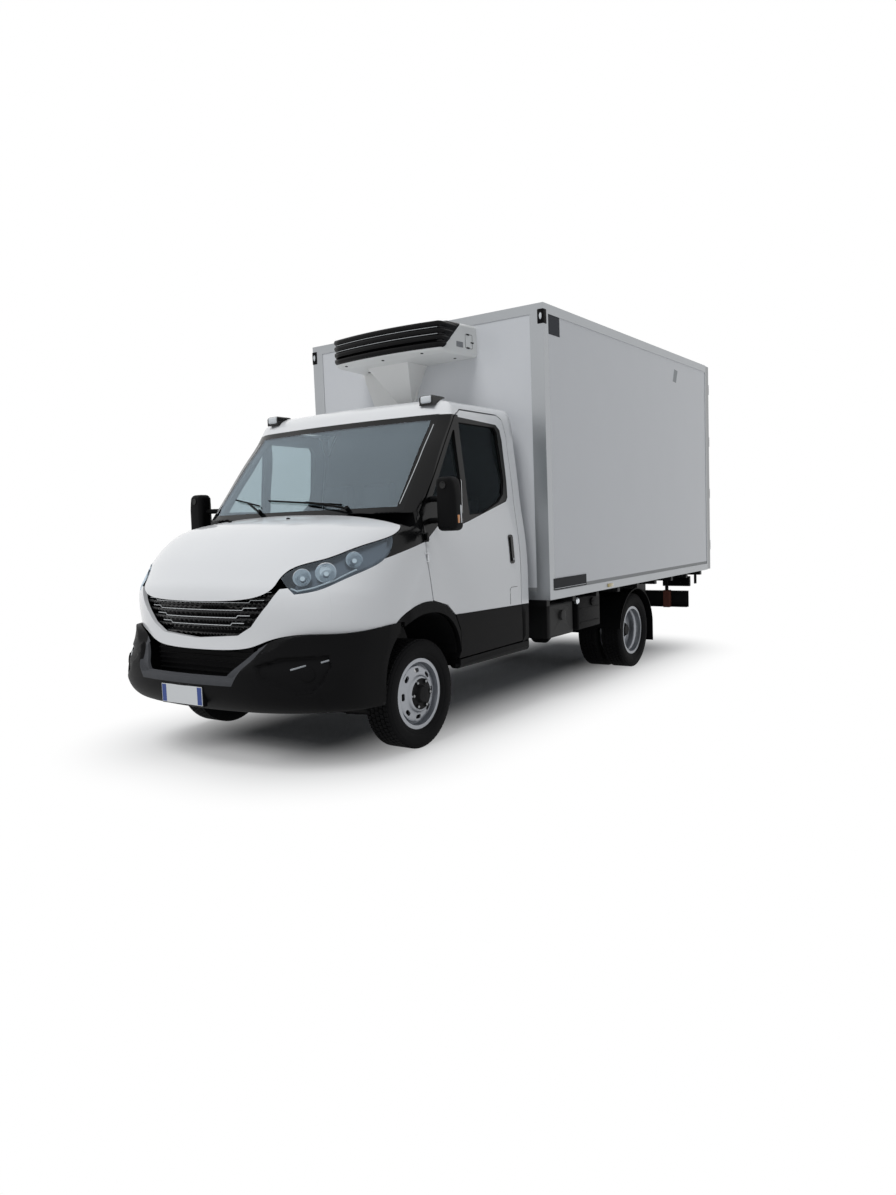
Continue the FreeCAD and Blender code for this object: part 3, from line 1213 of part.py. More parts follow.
def steering_wheel():
    """Rim, boss, two spokes and the column down to the dashboard."""
    angles = [math.tau * i / STEERING_TUBE_SIDES for i in range(STEERING_TUBE_SIDES)]
    section = [(STEERING_TUBE * math.cos(a), STEERING_RADIUS + STEERING_TUBE * math.sin(a)) for a in angles]
    ring = revolved(section)
    ring.rotate(V(0, 0, 0), V(0, 1, 0), 90)
    boss = Part.makeCylinder(STEERING_BOSS_RADIUS, STEERING_TUBE * 2, V(0, 0, -STEERING_TUBE))
    spoke = block(-STEERING_RADIUS, STEERING_RADIUS, -STEERING_TUBE, STEERING_TUBE, -STEERING_TUBE / 2,
                  STEERING_TUBE / 2)
    column = Part.makeCylinder(STEERING_TUBE * 2, COLUMN_LENGTH, V(0, 0, -COLUMN_LENGTH))
    wheel = joined([ring, boss, spoke, column])
    wheel.rotate(V(0, 0, 0), V(1, 0, 0), -(90 - STEERING_TILT))
    wheel.translate(V(STEERING_X, STEERING_Y, STEERING_Z))
    wheel = wheel.cut(dashboard())
    return solids_of(wheel)[0]


def seat(centre, width, heads):
    """Cushion, leaning back and head rests of one seat."""
    half = width / 2
    low = SEAT_CUSHION_HIGH - SEAT_CUSHION_THICK
    rear = SEAT_FRONT + SEAT_CUSHION_LENGTH
    cushion = block(centre - half, centre + half, SEAT_FRONT, rear, low, SEAT_CUSHION_HIGH)
    cushion = rounded(cushion, SEAT_ROUND, lambda e: along(e, "x"))
    lean = SEAT_BACK_HEIGHT * SEAT_LEAN_SHARE
    top = low + SEAT_BACK_HEIGHT
    back = prism([(rear - SEAT_BACK_THICK, low), (rear, low), (rear + lean, top),
                  (rear + lean - SEAT_BACK_THICK, top)], "x", centre - half, centre + half)
    back = rounded(back, SEAT_ROUND, lambda e: along(e, "x"))
    base_half = half * SEAT_BASE_SHARE
    base = block(centre - base_half, centre + base_half, SEAT_FRONT + SEAT_ROUND, rear - SEAT_ROUND,
                 CAB_FLOOR + SEAT_GAP, low + SEAT_ROUND)
    parts = [cushion, back, base]
    for x in heads:
        head = block(x - SEAT_HEAD_WIDTH / 2, x + SEAT_HEAD_WIDTH / 2, rear + lean - SEAT_BACK_THICK,
                     rear + lean - SEAT_ROUND, top - SEAT_ROUND, top + SEAT_HEAD_HEIGHT)
        parts.append(rounded(head, SEAT_ROUND, lambda e: along(e, "x")))
    return joined(parts)


def seats():
    """Driver's seat and a two place bench."""
    quarter = BENCH_WIDTH / 4
    return Part.makeCompound([seat(DRIVER_X, SEAT_WIDTH, [DRIVER_X]),
                              seat(BENCH_X, BENCH_WIDTH, [BENCH_X - quarter, BENCH_X + quarter])])


def roof_lamps():
    """Two corner lamps on the front of the roof."""
    y = ROOF_LAMP_Y
    body = block(ROOF_LAMP_X - ROOF_LAMP_WIDTH / 2, ROOF_LAMP_X + ROOF_LAMP_WIDTH / 2, y,
                 y + ROOF_LAMP_LENGTH, CAB_ROOF - ROOF_LAMP_HEIGHT, CAB_ROOF + ROOF_LAMP_HEIGHT)
    body = rounded(body, ROOF_LAMP_ROUND, lambda e: e.CenterOfMass.z > CAB_ROOF)
    return pair(solids_of(body.cut(screen_skin(-SEAT_GAP)))[0])


def cab_pieces():
    """Write the pieces of the cab."""
    save("windscreen", windscreen())
    save("bonnet", bonnet())
    nose, wings = front_panels()
    save("nose_panel", nose)
    save("front_wings", wings)
    save("headlamps", headlamps())
    save("grille", grille())
    left_door = door()
    save("door_left", left_door)
    save("door_right", mirrored(left_door))
    glass = door_glass()
    save("door_glass_left", glass)
    save("door_glass_right", mirrored(glass))
    left_mirror = mirror()
    save("mirror_left", left_mirror)
    save("mirror_right", mirrored(left_mirror))
    save("cab_shell", cab_shell())
    save("front_bumper", front_bumper())
    save("cladding", cladding())
    save("arch_liners", arch_liners())
    save("dashboard", dashboard())
    save("steering_wheel", steering_wheel())
    save("seats", seats())
    save("roof_lamps", roof_lamps())


# Box body

def box_panels():
    """Floor, roof, walls and rear frame of the insulated body."""
    inside = BOX_HALF - BOX_WALL
    floor_top = BOX_LOW + BOX_FLOOR - FLOOR_LINING
    roof_low = BOX_HIGH - BOX_WALL
    frame_front = BOX_REAR - REAR_FRAME_DEPTH
    slab = block(-BOX_HALF, BOX_HALF, BOX_FRONT, frame_front, BOX_LOW, floor_top)
    lining = block(SEAT_GAP - inside, inside - SEAT_GAP, BOX_FRONT + BOX_WALL + SEAT_GAP, frame_front,
                   floor_top, floor_top + FLOOR_LINING)
    save("box_floor", joined([slab, lining]))
    save("box_roof", block(-BOX_HALF, BOX_HALF, BOX_FRONT, frame_front, roof_low, BOX_HIGH))
    save("box_front_wall", block(-BOX_HALF, BOX_HALF, BOX_FRONT, BOX_FRONT + BOX_WALL, floor_top, roof_low))
    side = block(inside, BOX_HALF, BOX_FRONT + BOX_WALL, frame_front, floor_top, roof_low)
    save("box_sides", pair(side))
    frame = block(-BOX_HALF, BOX_HALF, frame_front, BOX_REAR, BOX_LOW, BOX_HIGH)
    hole = block(-BOX_HALF + REAR_POST, BOX_HALF - REAR_POST, frame_front - OVERRUN, BOX_REAR + OVERRUN,
                 BOX_LOW + REAR_SILL, BOX_HIGH - REAR_HEAD)
    save("box_rear_frame", joined([frame.cut(hole)] + hinge_brackets()))


def edge_zone():
    """Bands along the outer edges of the body that the profiles cover."""
    wide = BOX_HALF + OVERRUN
    far = BOX_REAR + OVERRUN
    near = BOX_FRONT - OVERRUN
    top = BOX_HIGH + OVERRUN
    low = BOX_LOW - OVERRUN
    bands = [block(-wide, wide, near, far, BOX_HIGH - EDGE_ROOF_WIDTH, top),
             block(-wide, wide, near, far, low, BOX_LOW + EDGE_FLOOR_WIDTH)]
    for side in (-1, 1):
        edge = sorted((side * wide, side * (BOX_HALF - EDGE_FRONT_WIDTH)))
        bands.append(block(edge[0], edge[1], near, BOX_FRONT + EDGE_FRONT_WIDTH * EDGE_WRAP_SHARE, low, top))
        bands.append(block(edge[0], edge[1], BOX_REAR - EDGE_REAR_WIDTH, far, low, top))
    return joined(bands)


def edge_profiles():
    """Aluminium angle profiles that clad the outer edges of the body."""
    grow = EDGE_PROUD
    outer = block(-BOX_HALF - grow, BOX_HALF + grow, BOX_FRONT - grow, BOX_REAR - REAR_FRAME_DEPTH,
                  BOX_LOW - grow, BOX_HIGH + grow)
    outer = rounded(outer, EDGE_ROUND, lambda e: along(e, "z") and e.CenterOfMass.y < BOX_FRONT)
    core = block(-BOX_HALF, BOX_HALF, BOX_FRONT, BOX_REAR + OVERRUN, BOX_LOW, BOX_HIGH)
    inner_roof = block(-BOX_HALF + EDGE_ROOF_WIDTH, BOX_HALF - EDGE_ROOF_WIDTH, BOX_FRONT + EDGE_ROOF_WIDTH,
                       BOX_REAR + OVERRUN, BOX_LOW - OVERRUN, BOX_HIGH + OVERRUN)
    return outer.cut(core).common(edge_zone()).cut(inner_roof)


def bearers():
    """Front edge of each cross bearer under the load floor."""
    pitch = (SUB_RAIL_REAR - SUB_RAIL_FRONT - SUB_CROSS_WIDTH) / (SUB_CROSS_COUNT - 1)
    return [SUB_RAIL_FRONT + i * pitch for i in range(SUB_CROSS_COUNT)]


def box_subframe():
    """Runners over the ladder frame and the cross bearers under the floor."""
    runner = block(RAIL_OUTSIDE - SUB_RAIL_WIDTH, RAIL_OUTSIDE, SUB_RAIL_FRONT, SUB_RAIL_REAR, RAIL_TOP,
                   BOX_LOW)
    parts = [runner, mirrored(runner)]
    for y in bearers():
        parts.append(block(-SUB_CROSS_REACH, SUB_CROSS_REACH, y, y + SUB_CROSS_WIDTH,
                           BOX_LOW - SUB_CROSS_HEIGHT, BOX_LOW))
    return joined(parts)


def hinge_levels():
    """Heights of the rear door hinges."""
    low = BOX_LOW + REAR_SILL
    return [low + share * (BOX_HIGH - REAR_HEAD - low) for share in HINGE_LEVEL_SHARES]


def hinge_brackets():
    """Ears and pins of the rear door hinges on the rear posts."""
    parts = []
    for z in hinge_levels():
        half = HINGE_HEIGHT / 2
        for low in (z - half - HINGE_EAR, z + half):
            ear = rod(HINGE_RADIUS, (HINGE_X, HINGE_Y, low), (HINGE_X, HINGE_Y, low + HINGE_EAR))
            root = block(HINGE_X - HINGE_RADIUS, HINGE_X + HINGE_RADIUS, BOX_REAR - SEAT_GAP, HINGE_Y, low,
                         low + HINGE_EAR)
            parts += [ear, root]
        parts.append(rod(HINGE_PIN_RADIUS, (HINGE_X, HINGE_Y, z - half - HINGE_EAR),
                         (HINGE_X, HINGE_Y, z + half + HINGE_EAR)))
    return parts + [mirrored(part) for part in parts]


def box_door():
    """Left rear door with its hinge straps, lock rods and handle."""
    low = BOX_LOW + REAR_SILL + SHUT_GAP
    high = BOX_HIGH - REAR_HEAD - SHUT_GAP
    outside = BOX_HALF - REAR_POST - SHUT_GAP
    face = BOX_REAR
    leaf = block(DOOR_MEET, outside, face - BOX_DOOR_THICK, face, low, high)
    parts = [leaf]
    half = HINGE_HEIGHT / 2 - HINGE_EAR_GAP
    for z in hinge_levels():
        barrel_piece = rod(HINGE_RADIUS, (HINGE_X, HINGE_Y, z - half), (HINGE_X, HINGE_Y, z + half))
        strap = block(outside - HINGE_STRAP, outside, face, face + HINGE_STRAP_THICK, z - half, z + half)
        bridge = block(outside - HINGE_RADIUS, HINGE_X, face + SEAT_GAP, face + HINGE_STRAP_THICK, z - half,
                       z + half)
        root = block(HINGE_X - HINGE_RADIUS, HINGE_X, face + SEAT_GAP, HINGE_Y, z - half, z + half)
        parts += [barrel_piece, strap, bridge, root]
    x = LOCK_ROD_X
    y = face + LOCK_ROD_STAND
    parts.append(rod(LOCK_ROD_RADIUS, (x, y, low - SHUT_GAP), (x, y, high + SHUT_GAP)))
    for share in LOCK_LEVEL_SHARES:
        z = low + share * (high - low)
        parts.append(block(x - LOCK_BRACKET / 2, x + LOCK_BRACKET / 2, face - SEAT_GAP, y,
                           z - LOCK_BRACKET / 3, z + LOCK_BRACKET / 3))
    level = low + LOCK_HANDLE_SHARE * (high - low)
    parts.append(block(x, x + LOCK_HANDLE, y - LOCK_ROD_RADIUS / 2, y + LOCK_ROD_RADIUS / 2, level,
                       level + LOCK_ROD_RADIUS * 2))
    bore = PIN_CLEARANCE + HINGE_PIN_RADIUS
    door_piece = joined(parts)
    return door_piece.cut(rod(bore, (HINGE_X, HINGE_Y, BOX_LOW), (HINGE_X, HINGE_Y, BOX_HIGH)))


def cooling_housing():
    """Cooling unit with a bowed front, a sloping underside and a mouth for its louvres."""
    wall_y = BOX_FRONT
    front = wall_y - UNIT_REACH
    side = [(wall_y, UNIT_LOW), (wall_y, UNIT_HIGH), (front + UNIT_REACH / 3, UNIT_HIGH),
            (front, UNIT_HIGH_FRONT), (front, UNIT_LOW_FRONT), (front + UNIT_REACH / 4, UNIT_LOW)]
    body = prism(side, "x", -UNIT_HALF_WALL, UNIT_HALF_WALL)
    corner = V(UNIT_HALF_FRONT, front + UNIT_BOW, 0)
    far_corner = V(-UNIT_HALF_FRONT, front + UNIT_BOW, 0)
    bow = Part.Arc(far_corner, V(0, front, 0), corner)
    edges = [bow.toShape(), Part.makeLine(corner, V(UNIT_HALF_WALL, wall_y, 0)),
             Part.makeLine(V(UNIT_HALF_WALL, wall_y, 0), V(-UNIT_HALF_WALL, wall_y, 0)),
             Part.makeLine(V(-UNIT_HALF_WALL, wall_y, 0), far_corner)]
    body = body.common(Part.Face(Part.Wire(edges)).extrude(V(0, 0, CAB_ROOF * 2)))
    body = rounded(body, UNIT_ROUND, lambda e: e.CenterOfMass.y < wall_y - SEAT_GAP)
    mouth = block(-UNIT_MOUTH_HALF, UNIT_MOUTH_HALF, front - OVERRUN, front + UNIT_MOUTH_DEPTH,
                  UNIT_MOUTH_LOW, UNIT_MOUTH_HIGH)
    return body.cut(mouth)


def cooling_louvres():
    """Curved louvre slats in the mouth of the cooling unit, on a back plate."""
    front = BOX_FRONT - UNIT_REACH
    radius = (UNIT_HALF_FRONT ** 2 + UNIT_BOW ** 2) / (2 * UNIT_BOW)
    centre = V(0, front + radius, UNIT_MOUTH_LOW)
    pitch = (UNIT_MOUTH_HIGH - UNIT_MOUTH_LOW) / LOUVRES
    half = UNIT_MOUTH_HALF - SEAT_GAP
    back = front + UNIT_MOUTH_DEPTH
    keep = block(-half, half, front - OVERRUN, back - SEAT_GAP, UNIT_MOUTH_LOW, UNIT_MOUTH_HIGH)
    plate = block(-half, half, back - LOUVRE_HEIGHT, back - SEAT_GAP, UNIT_MOUTH_LOW + SEAT_GAP,
                  UNIT_MOUTH_HIGH - SEAT_GAP)
    parts = [plate]
    for i in range(LOUVRES):
        low = UNIT_MOUTH_LOW + (i + LOUVRE_PLACE_SHARE) * pitch
        ring = Part.makeCylinder(radius, LOUVRE_HEIGHT, V(centre.x, centre.y, low))
        core = Part.makeCylinder(radius - UNIT_MOUTH_DEPTH, LOUVRE_HEIGHT, V(centre.x, centre.y, low))
        parts.append(ring.cut(core).common(keep))
    return joined(parts)


def cooling_duct():
    """Tapered cover that runs from the cooling unit down the wall."""
    run = UNIT_LOW - DUCT_LOW
    front_view = [(DUCT_X - DUCT_LOW_HALF, DUCT_LOW), (DUCT_X + DUCT_LOW_HALF, DUCT_LOW),
                  (DUCT_X + DUCT_TOP_HALF, DUCT_LOW + run), (DUCT_X - DUCT_TOP_HALF, DUCT_LOW + run)]
    side_view = [(BOX_FRONT, DUCT_LOW), (BOX_FRONT - DUCT_LOW_REACH, DUCT_LOW),
                 (BOX_FRONT - DUCT_TOP_REACH, DUCT_LOW + run), (BOX_FRONT, DUCT_LOW + run)]
    across = prism(front_view, "y", BOX_FRONT - UNIT_REACH, BOX_FRONT)
    return across.common(prism(side_view, "x", -UNIT_HALF_WALL, UNIT_HALF_WALL))


def evaporator():
    """Air outlet housing inside the box under the roof."""
    y = BOX_FRONT + BOX_WALL
    high = BOX_HIGH - BOX_WALL
    points = [(y, high), (y, high - EVAPORATOR_HEIGHT), (y + EVAPORATOR_DEPTH, high - EVAPORATOR_HEIGHT / 2),
              (y + EVAPORATOR_DEPTH, high)]
    return prism(points, "x", -EVAPORATOR_HALF, EVAPORATOR_HALF)


# Equipment under the box

def rear_mudguards():
    """Round guards over the twin wheels with a flap behind."""
    z = TYRE_RADIUS
    y = WHEELBASE
    ring = rod(GUARD_RADIUS, (GUARD_INSIDE, y, z), (GUARD_OUTSIDE, y, z))
    ring = ring.cut(rod(GUARD_RADIUS - GUARD_WALL, (GUARD_INSIDE, y, z), (GUARD_OUTSIDE, y, z)))
    low = z + GUARD_RADIUS * GUARD_FOOT_SHARE
    ring = ring.common(block(0, BOX_HALF, y - 2 * GUARD_RADIUS, y + 2 * GUARD_RADIUS, low, BOX_LOW))
    edge = y + math.sqrt(GUARD_RADIUS ** 2 - (low - z) ** 2)
    flap = block(GUARD_INSIDE, GUARD_OUTSIDE, edge - GUARD_WALL, edge, low - FLAP_LENGTH, low)
    bearer = min(bearers(), key=lambda place: abs(place - y))
    stay = block(GUARD_INSIDE, GUARD_INSIDE + GUARD_STAY, bearer, bearer + SUB_CROSS_WIDTH,
                 z + GUARD_RADIUS - 3 * GUARD_WALL, BOX_LOW - SUB_CROSS_HEIGHT - SEAT_GAP)
    return pair(joined([ring, flap, stay]))


def underrun_bar():
    """Channel bar across the rear with two straps up to the frame."""
    low = UNDERRUN_LOW
    high = UNDERRUN_HIGH
    bar = block(-UNDERRUN_HALF, UNDERRUN_HALF, UNDERRUN_Y, UNDERRUN_Y + UNDERRUN_DEPTH, low, high)
    hollow = block(-UNDERRUN_HALF - OVERRUN, UNDERRUN_HALF + OVERRUN, UNDERRUN_Y - OVERRUN,
                   UNDERRUN_Y + UNDERRUN_DEPTH - UNDERRUN_WALL, low + UNDERRUN_WALL, high - UNDERRUN_WALL)
    parts = [bar.cut(hollow)]
    for side in (-1, 1):
        x = side * UNDERRUN_STRAP_X
        near = x - UNDERRUN_STRAP_WIDTH / 2
        far = x + UNDERRUN_STRAP_WIDTH / 2
        top = RAIL_BOTTOM + UNDERRUN_FOOT
        parts.append(block(near, far, UNDERRUN_Y - UNDERRUN_STRAP_DEPTH, UNDERRUN_Y, low, top))
        parts.append(block(near, far, RAIL_REAR, UNDERRUN_Y, RAIL_BOTTOM, top))
    return joined(parts)


def rear_lamps():
    """Two lamp units hung under the rear of the box."""
    y = BOX_REAR - REAR_LAMP_INSET
    body = block(REAR_LAMP_X - REAR_LAMP_WIDTH / 2, REAR_LAMP_X + REAR_LAMP_WIDTH / 2, y,
                 y + REAR_LAMP_DEPTH, REAR_LAMP_LOW, REAR_LAMP_LOW + REAR_LAMP_HEIGHT)
    body = rounded(body, REAR_LAMP_DEPTH / 4, lambda e: along(e, "x"))
    stay = block(REAR_LAMP_X - LOCK_BRACKET / 2, REAR_LAMP_X + LOCK_BRACKET / 2, y + BRACKET_THICK,
                 y + 2 * BRACKET_THICK, REAR_LAMP_LOW + REAR_LAMP_HEIGHT / 2, BOX_LOW - SEAT_GAP)
    return pair(joined([body, stay]))


def side_tanks():
    """Fuel tank on the right and the equipment box on the left, hung on brackets from the rails."""
    tank = block(-TANK_X - TANK_WIDTH, -TANK_X, TANK_FRONT, TANK_FRONT + TANK_LENGTH, TANK_LOW, TANK_HIGH)
    tank = rounded(tank, TANK_CORNER, lambda e: along(e, "y"))
    stays = []
    for share in TANK_STAY_SHARES:
        y = TANK_FRONT + share * TANK_LENGTH
        stays.append(block(-TANK_X - TANK_CORNER, -RAIL_OUTSIDE, y - BRACKET_THICK, y + BRACKET_THICK,
                           RAIL_BOTTOM, TANK_HIGH - TANK_CORNER))
    box = block(SIDE_BOX_X, SIDE_BOX_X + SIDE_BOX_WIDTH, SIDE_BOX_FRONT, SIDE_BOX_FRONT + SIDE_BOX_LENGTH,
                SIDE_BOX_LOW, BOX_LOW - SUB_CROSS_HEIGHT - SEAT_GAP)
    box = rounded(box, SIDE_BOX_CORNER, lambda e: along(e, "z") or along(e, "y"))
    cap_z = (SIDE_BOX_LOW + BOX_LOW) / 2
    cap_y = SIDE_BOX_FRONT + SIDE_BOX_LENGTH / 2
    cap = rod(SIDE_CAP_RADIUS, (SIDE_BOX_X + SIDE_BOX_WIDTH - SIDE_CAP_HEIGHT, cap_y, cap_z),
              (SIDE_BOX_X + SIDE_BOX_WIDTH + SIDE_CAP_HEIGHT, cap_y, cap_z))
    stay = block(RAIL_OUTSIDE, SIDE_BOX_X + SIDE_BOX_CORNER, cap_y - SUB_CROSS_WIDTH,
                 cap_y + SUB_CROSS_WIDTH, RAIL_BOTTOM, RAIL_TOP - SUB_CROSS_WIDTH)
    return Part.makeCompound([joined([tank] + stays), joined([box, cap, stay])])


def exhaust():
    """Down pipe, silencer and tail pipe beside the propeller shaft."""
    z = EXHAUST_Z
    x = EXHAUST_X
    pipe = rod(EXHAUST_RADIUS, (x, ENGINE_REAR + SPRING_LEAF, EXHAUST_START_Z), (x, SILENCER_FRONT, z))
    silencer = rod(SILENCER_RADIUS, (x, SILENCER_FRONT, z), (x, SILENCER_FRONT + SILENCER_LENGTH, z))
    tail = rod(EXHAUST_RADIUS, (x, SILENCER_FRONT + SILENCER_LENGTH, z), (x, EXHAUST_END, z))
    hangers = []
    for y in (SILENCER_FRONT + SILENCER_LENGTH / 2, EXHAUST_END - SUB_CROSS_WIDTH):
        hangers.append(block(x - EXHAUST_RADIUS / 2, RAIL_OUTSIDE - RAIL_WALL, y, y + BRACKET_THICK, z,
                             z + EXHAUST_RADIUS / 2))
        hangers.append(block(RAIL_OUTSIDE - RAIL_FLANGE, RAIL_OUTSIDE - RAIL_WALL, y, y + BRACKET_THICK, z,
                             RAIL_BOTTOM - SEAT_GAP))
    return joined([pipe, silencer, tail] + hangers)


def box_pieces():
    """Write the pieces of the insulated body and what hangs below it."""
    box_panels()
    save("box_edge_profiles", edge_profiles())
    save("box_subframe", box_subframe())
    door_piece = box_door()
    save("box_door_left", door_piece)
    save("box_door_right", mirrored(door_piece))
    save("cooling_housing", cooling_housing())
    save("cooling_louvres", cooling_louvres())
    save("cooling_duct", cooling_duct())
    save("evaporator", evaporator())
    save("rear_mudguards", rear_mudguards())
    save("underrun_bar", underrun_bar())
    save("rear_lamps", rear_lamps())
    save("side_tanks", side_tanks())
    save("exhaust", exhaust())


def build():
    """Write every piece."""
    os.makedirs("parts", exist_ok=True)
    wheel_pieces()
    save("knuckle_left", knuckle())
    save("knuckle_right", mirrored(knuckle()))
    save("front_suspension", front_suspension())
    save("rear_axle", rear_axle())
    save("leaf_springs", pair(leaf_spring()))
    save("ladder_frame", ladder_frame())
    save("engine_block", engine_block())
    save("driveline", driveline())
    box_pieces()
    cab_pieces()


build()
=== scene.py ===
"""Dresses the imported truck: finishes, trim, lamps, glass, wheels, cooling unit, inside and stage.

Places are in metres from the middle of the truck on the ground; +Y is the rear and +X the left.
"""
import json
import math

import bmesh
import bpy
from mathutils import Matrix, Vector
from mathutils.bvhtree import BVHTree

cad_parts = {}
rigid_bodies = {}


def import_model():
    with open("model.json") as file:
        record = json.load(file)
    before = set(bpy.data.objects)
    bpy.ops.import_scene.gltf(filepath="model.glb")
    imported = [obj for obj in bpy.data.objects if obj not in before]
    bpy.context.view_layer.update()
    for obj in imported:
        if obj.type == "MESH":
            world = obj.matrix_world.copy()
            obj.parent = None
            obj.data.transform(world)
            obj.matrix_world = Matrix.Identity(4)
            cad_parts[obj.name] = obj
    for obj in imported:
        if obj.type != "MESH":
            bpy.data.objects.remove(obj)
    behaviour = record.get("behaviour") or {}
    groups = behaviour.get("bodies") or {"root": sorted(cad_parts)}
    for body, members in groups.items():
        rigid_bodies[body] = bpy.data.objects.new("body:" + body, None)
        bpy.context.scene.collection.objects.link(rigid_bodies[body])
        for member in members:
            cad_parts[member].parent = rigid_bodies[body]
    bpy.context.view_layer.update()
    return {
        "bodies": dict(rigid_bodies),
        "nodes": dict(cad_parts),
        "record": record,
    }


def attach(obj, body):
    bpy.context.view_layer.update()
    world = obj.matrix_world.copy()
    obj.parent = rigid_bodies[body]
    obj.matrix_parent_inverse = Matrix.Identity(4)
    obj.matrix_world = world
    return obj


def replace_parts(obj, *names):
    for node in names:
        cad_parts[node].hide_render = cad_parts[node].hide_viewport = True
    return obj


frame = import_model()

NODES = frame["nodes"]
BODY_OF = {n: body for body, names in frame["record"]["behaviour"]["bodies"].items() for n in names}

bl_info = {
    "name": "Refrigerated truck",
    "version": (1, 0, 0),
    "blender": (4, 5, 0),
    "location": "View3D > Sidebar > Truck",
    "description": "Finishes and trim of a light refrigerated truck",
    "category": "Object",
}

MM = 0.001
SIDES = (1, -1)
SIDE_NAMES = {1: "left", -1: "right"}
# Distance from the front axle back to the middle of the truck
MIDDLE = 2.028
WHEELBASE = 3.300
TYRE_RADIUS = 0.340


def at(x, y, z):
    """A place whose Y is given from the front axle, in the truck frame."""
    return Vector((x, y - MIDDLE, z))


# Shader nodes

def linear(code):
    """Linear colour of an sRGB hex code."""
    parts = [int(code[i:i + 2], 16) / 255 for i in (1, 3, 5)]
    return [c / 12.92 if c <= 0.04045 else ((c + 0.055) / 1.055) ** 2.4 for c in parts] + [1.0]


def add(tree, kind, settings=None, links=None, out=0):
    """Adds a shader node with its settings, constants and links, and gives back one output."""
    node = tree.nodes.new(kind)
    for key, value in (settings or {}).items():
        setattr(node, key, value)
    for key, value in (links or {}).items():
        socket = node.inputs[key]
        if isinstance(value, bpy.types.NodeSocket):
            tree.links.new(value, socket)
        else:
            socket.default_value = value
    return node.outputs[out] if node.outputs else None


def blank_material(name):
    """An empty node material and its tree."""
    material = bpy.data.materials.new(name)
    material.use_nodes = True
    tree = material.node_tree
    tree.nodes.clear()
    return material, tree


def surface(tree, shader):
    """Sends a shader to the material's output."""
    add(tree, "ShaderNodeOutputMaterial", links={"Surface": shader})


# Masks on a finish: one inside a form, nothing outside it

def side_of(tree, place, normal, level):
    """One where a place lies past a plane."""
    dot = add(tree, "ShaderNodeVectorMath", {"operation": "DOT_PRODUCT"}, {0: place, 1: normal}, "Value")
    return add(tree, "ShaderNodeMath", {"operation": "GREATER_THAN"}, {0: dot, 1: level})


def all_but(tree, mask):
    """One where a mask is nothing."""
    return add(tree, "ShaderNodeMath", {"operation": "SUBTRACT"}, {0: 1.0, 1: mask})


def all_of(tree, *masks):
    """One where every mask is one."""
    out = masks[0]
    for mask in masks[1:]:
        out = add(tree, "ShaderNodeMath", {"operation": "MULTIPLY"}, {0: out, 1: mask})
    return out


def any_of(tree, *masks):
    """One where any mask is one."""
    out = masks[0]
    for mask in masks[1:]:
        out = add(tree, "ShaderNodeMath", {"operation": "MAXIMUM"}, {0: out, 1: mask})
    return out


def past(tree, place, start, end):
    """One on the upper side of a line through two places given as Y and Z from the front axle."""
    (y0, z0), (y1, z1) = start, end
    run = Vector((y1 - y0, z1 - z0)).normalized()
    normal = Vector((0.0, -run.y, run.x))
    return side_of(tree, place, normal, normal.dot(at(0, y0, z0)))


def ahead_of(tree, place, y):
    """One where a place lies ahead of a Y measured from the front axle."""
    return side_of(tree, place, (0, -1, 0), -(y - MIDDLE))


def inside(tree, place, outline):
    """One inside a convex outline of Y and Z places."""
    pairs = zip(outline, outline[1:] + outline[:1])
    return all_of(tree, *[past(tree, place, start, end) for start, end in pairs])


def round_mask(tree, place, y, z, radius):
    """One within a radius of an axle line."""
    flat = add(tree, "ShaderNodeVectorMath", {"operation": "MULTIPLY"}, {0: place, 1: (0, 1, 1)})
    far = add(tree, "ShaderNodeVectorMath", {"operation": "DISTANCE"}, {0: flat, 1: at(0, y, z)}, "Value")
    return add(tree, "ShaderNodeMath", {"operation": "LESS_THAN"}, {0: far, 1: radius})


# Finishes

# Patches of dust and fading on a panel
DRIFT_SIZE = 0.35
# Moulded grain is finer than a millimetre and is drawn coarser, so that it shows
MOULD_GRAIN = 1.2 * MM
INNER_GRAIN = 1.5 * MM
CLOTH_WEAVE = 2.0 * MM
TYRE_GRAIN = 3.0 * MM
PANEL_PEEL = 4.0 * MM
FLOOR_GRIT = 6.0 * MM
GLASS_IOR = 1.5


def solid_shader(tree, code, rough, metal=0.0, coat=0.0):
    """An even enamel, plastic or metal."""
    return add(tree, "ShaderNodeBsdfPrincipled", links={
        "Base Color": linear(code), "Roughness": rough, "Metallic": metal, "Coat Weight": coat})


def simple(name, code, rough=0.5, metal=0.0, coat=0.0, grain=None, grain_depth=0.0, shine=0.5, spread=0.0):
    """A finish of one material, with an optional fine grain and a slow change of tone."""
    material, tree = blank_material(name)
    colour = linear(code)
    links = {"Base Color": colour, "Roughness": rough, "Metallic": metal, "Coat Weight": coat,
             "Coat Roughness": 0.04, "Specular IOR Level": shine}
    if spread:
        place = add(tree, "ShaderNodeTexCoord", out="Object")
        drift = add(tree, "ShaderNodeTexNoise",
                    links={"Vector": place, "Scale": 1.0 / DRIFT_SIZE, "Detail": 3.0}, out="Fac")
        links["Base Color"] = add(tree, "ShaderNodeMix", {"data_type": "RGBA"},
                                  {"Factor": drift, 6: [c * (1 - spread) for c in colour[:3]] + [1],
                                   7: [min(c * (1 + spread), 1) for c in colour[:3]] + [1]}, 2)
    if grain:
        links["Normal"] = grained(tree, grain, grain_depth)
    surface(tree, add(tree, "ShaderNodeBsdfPrincipled", links=links))
    return material


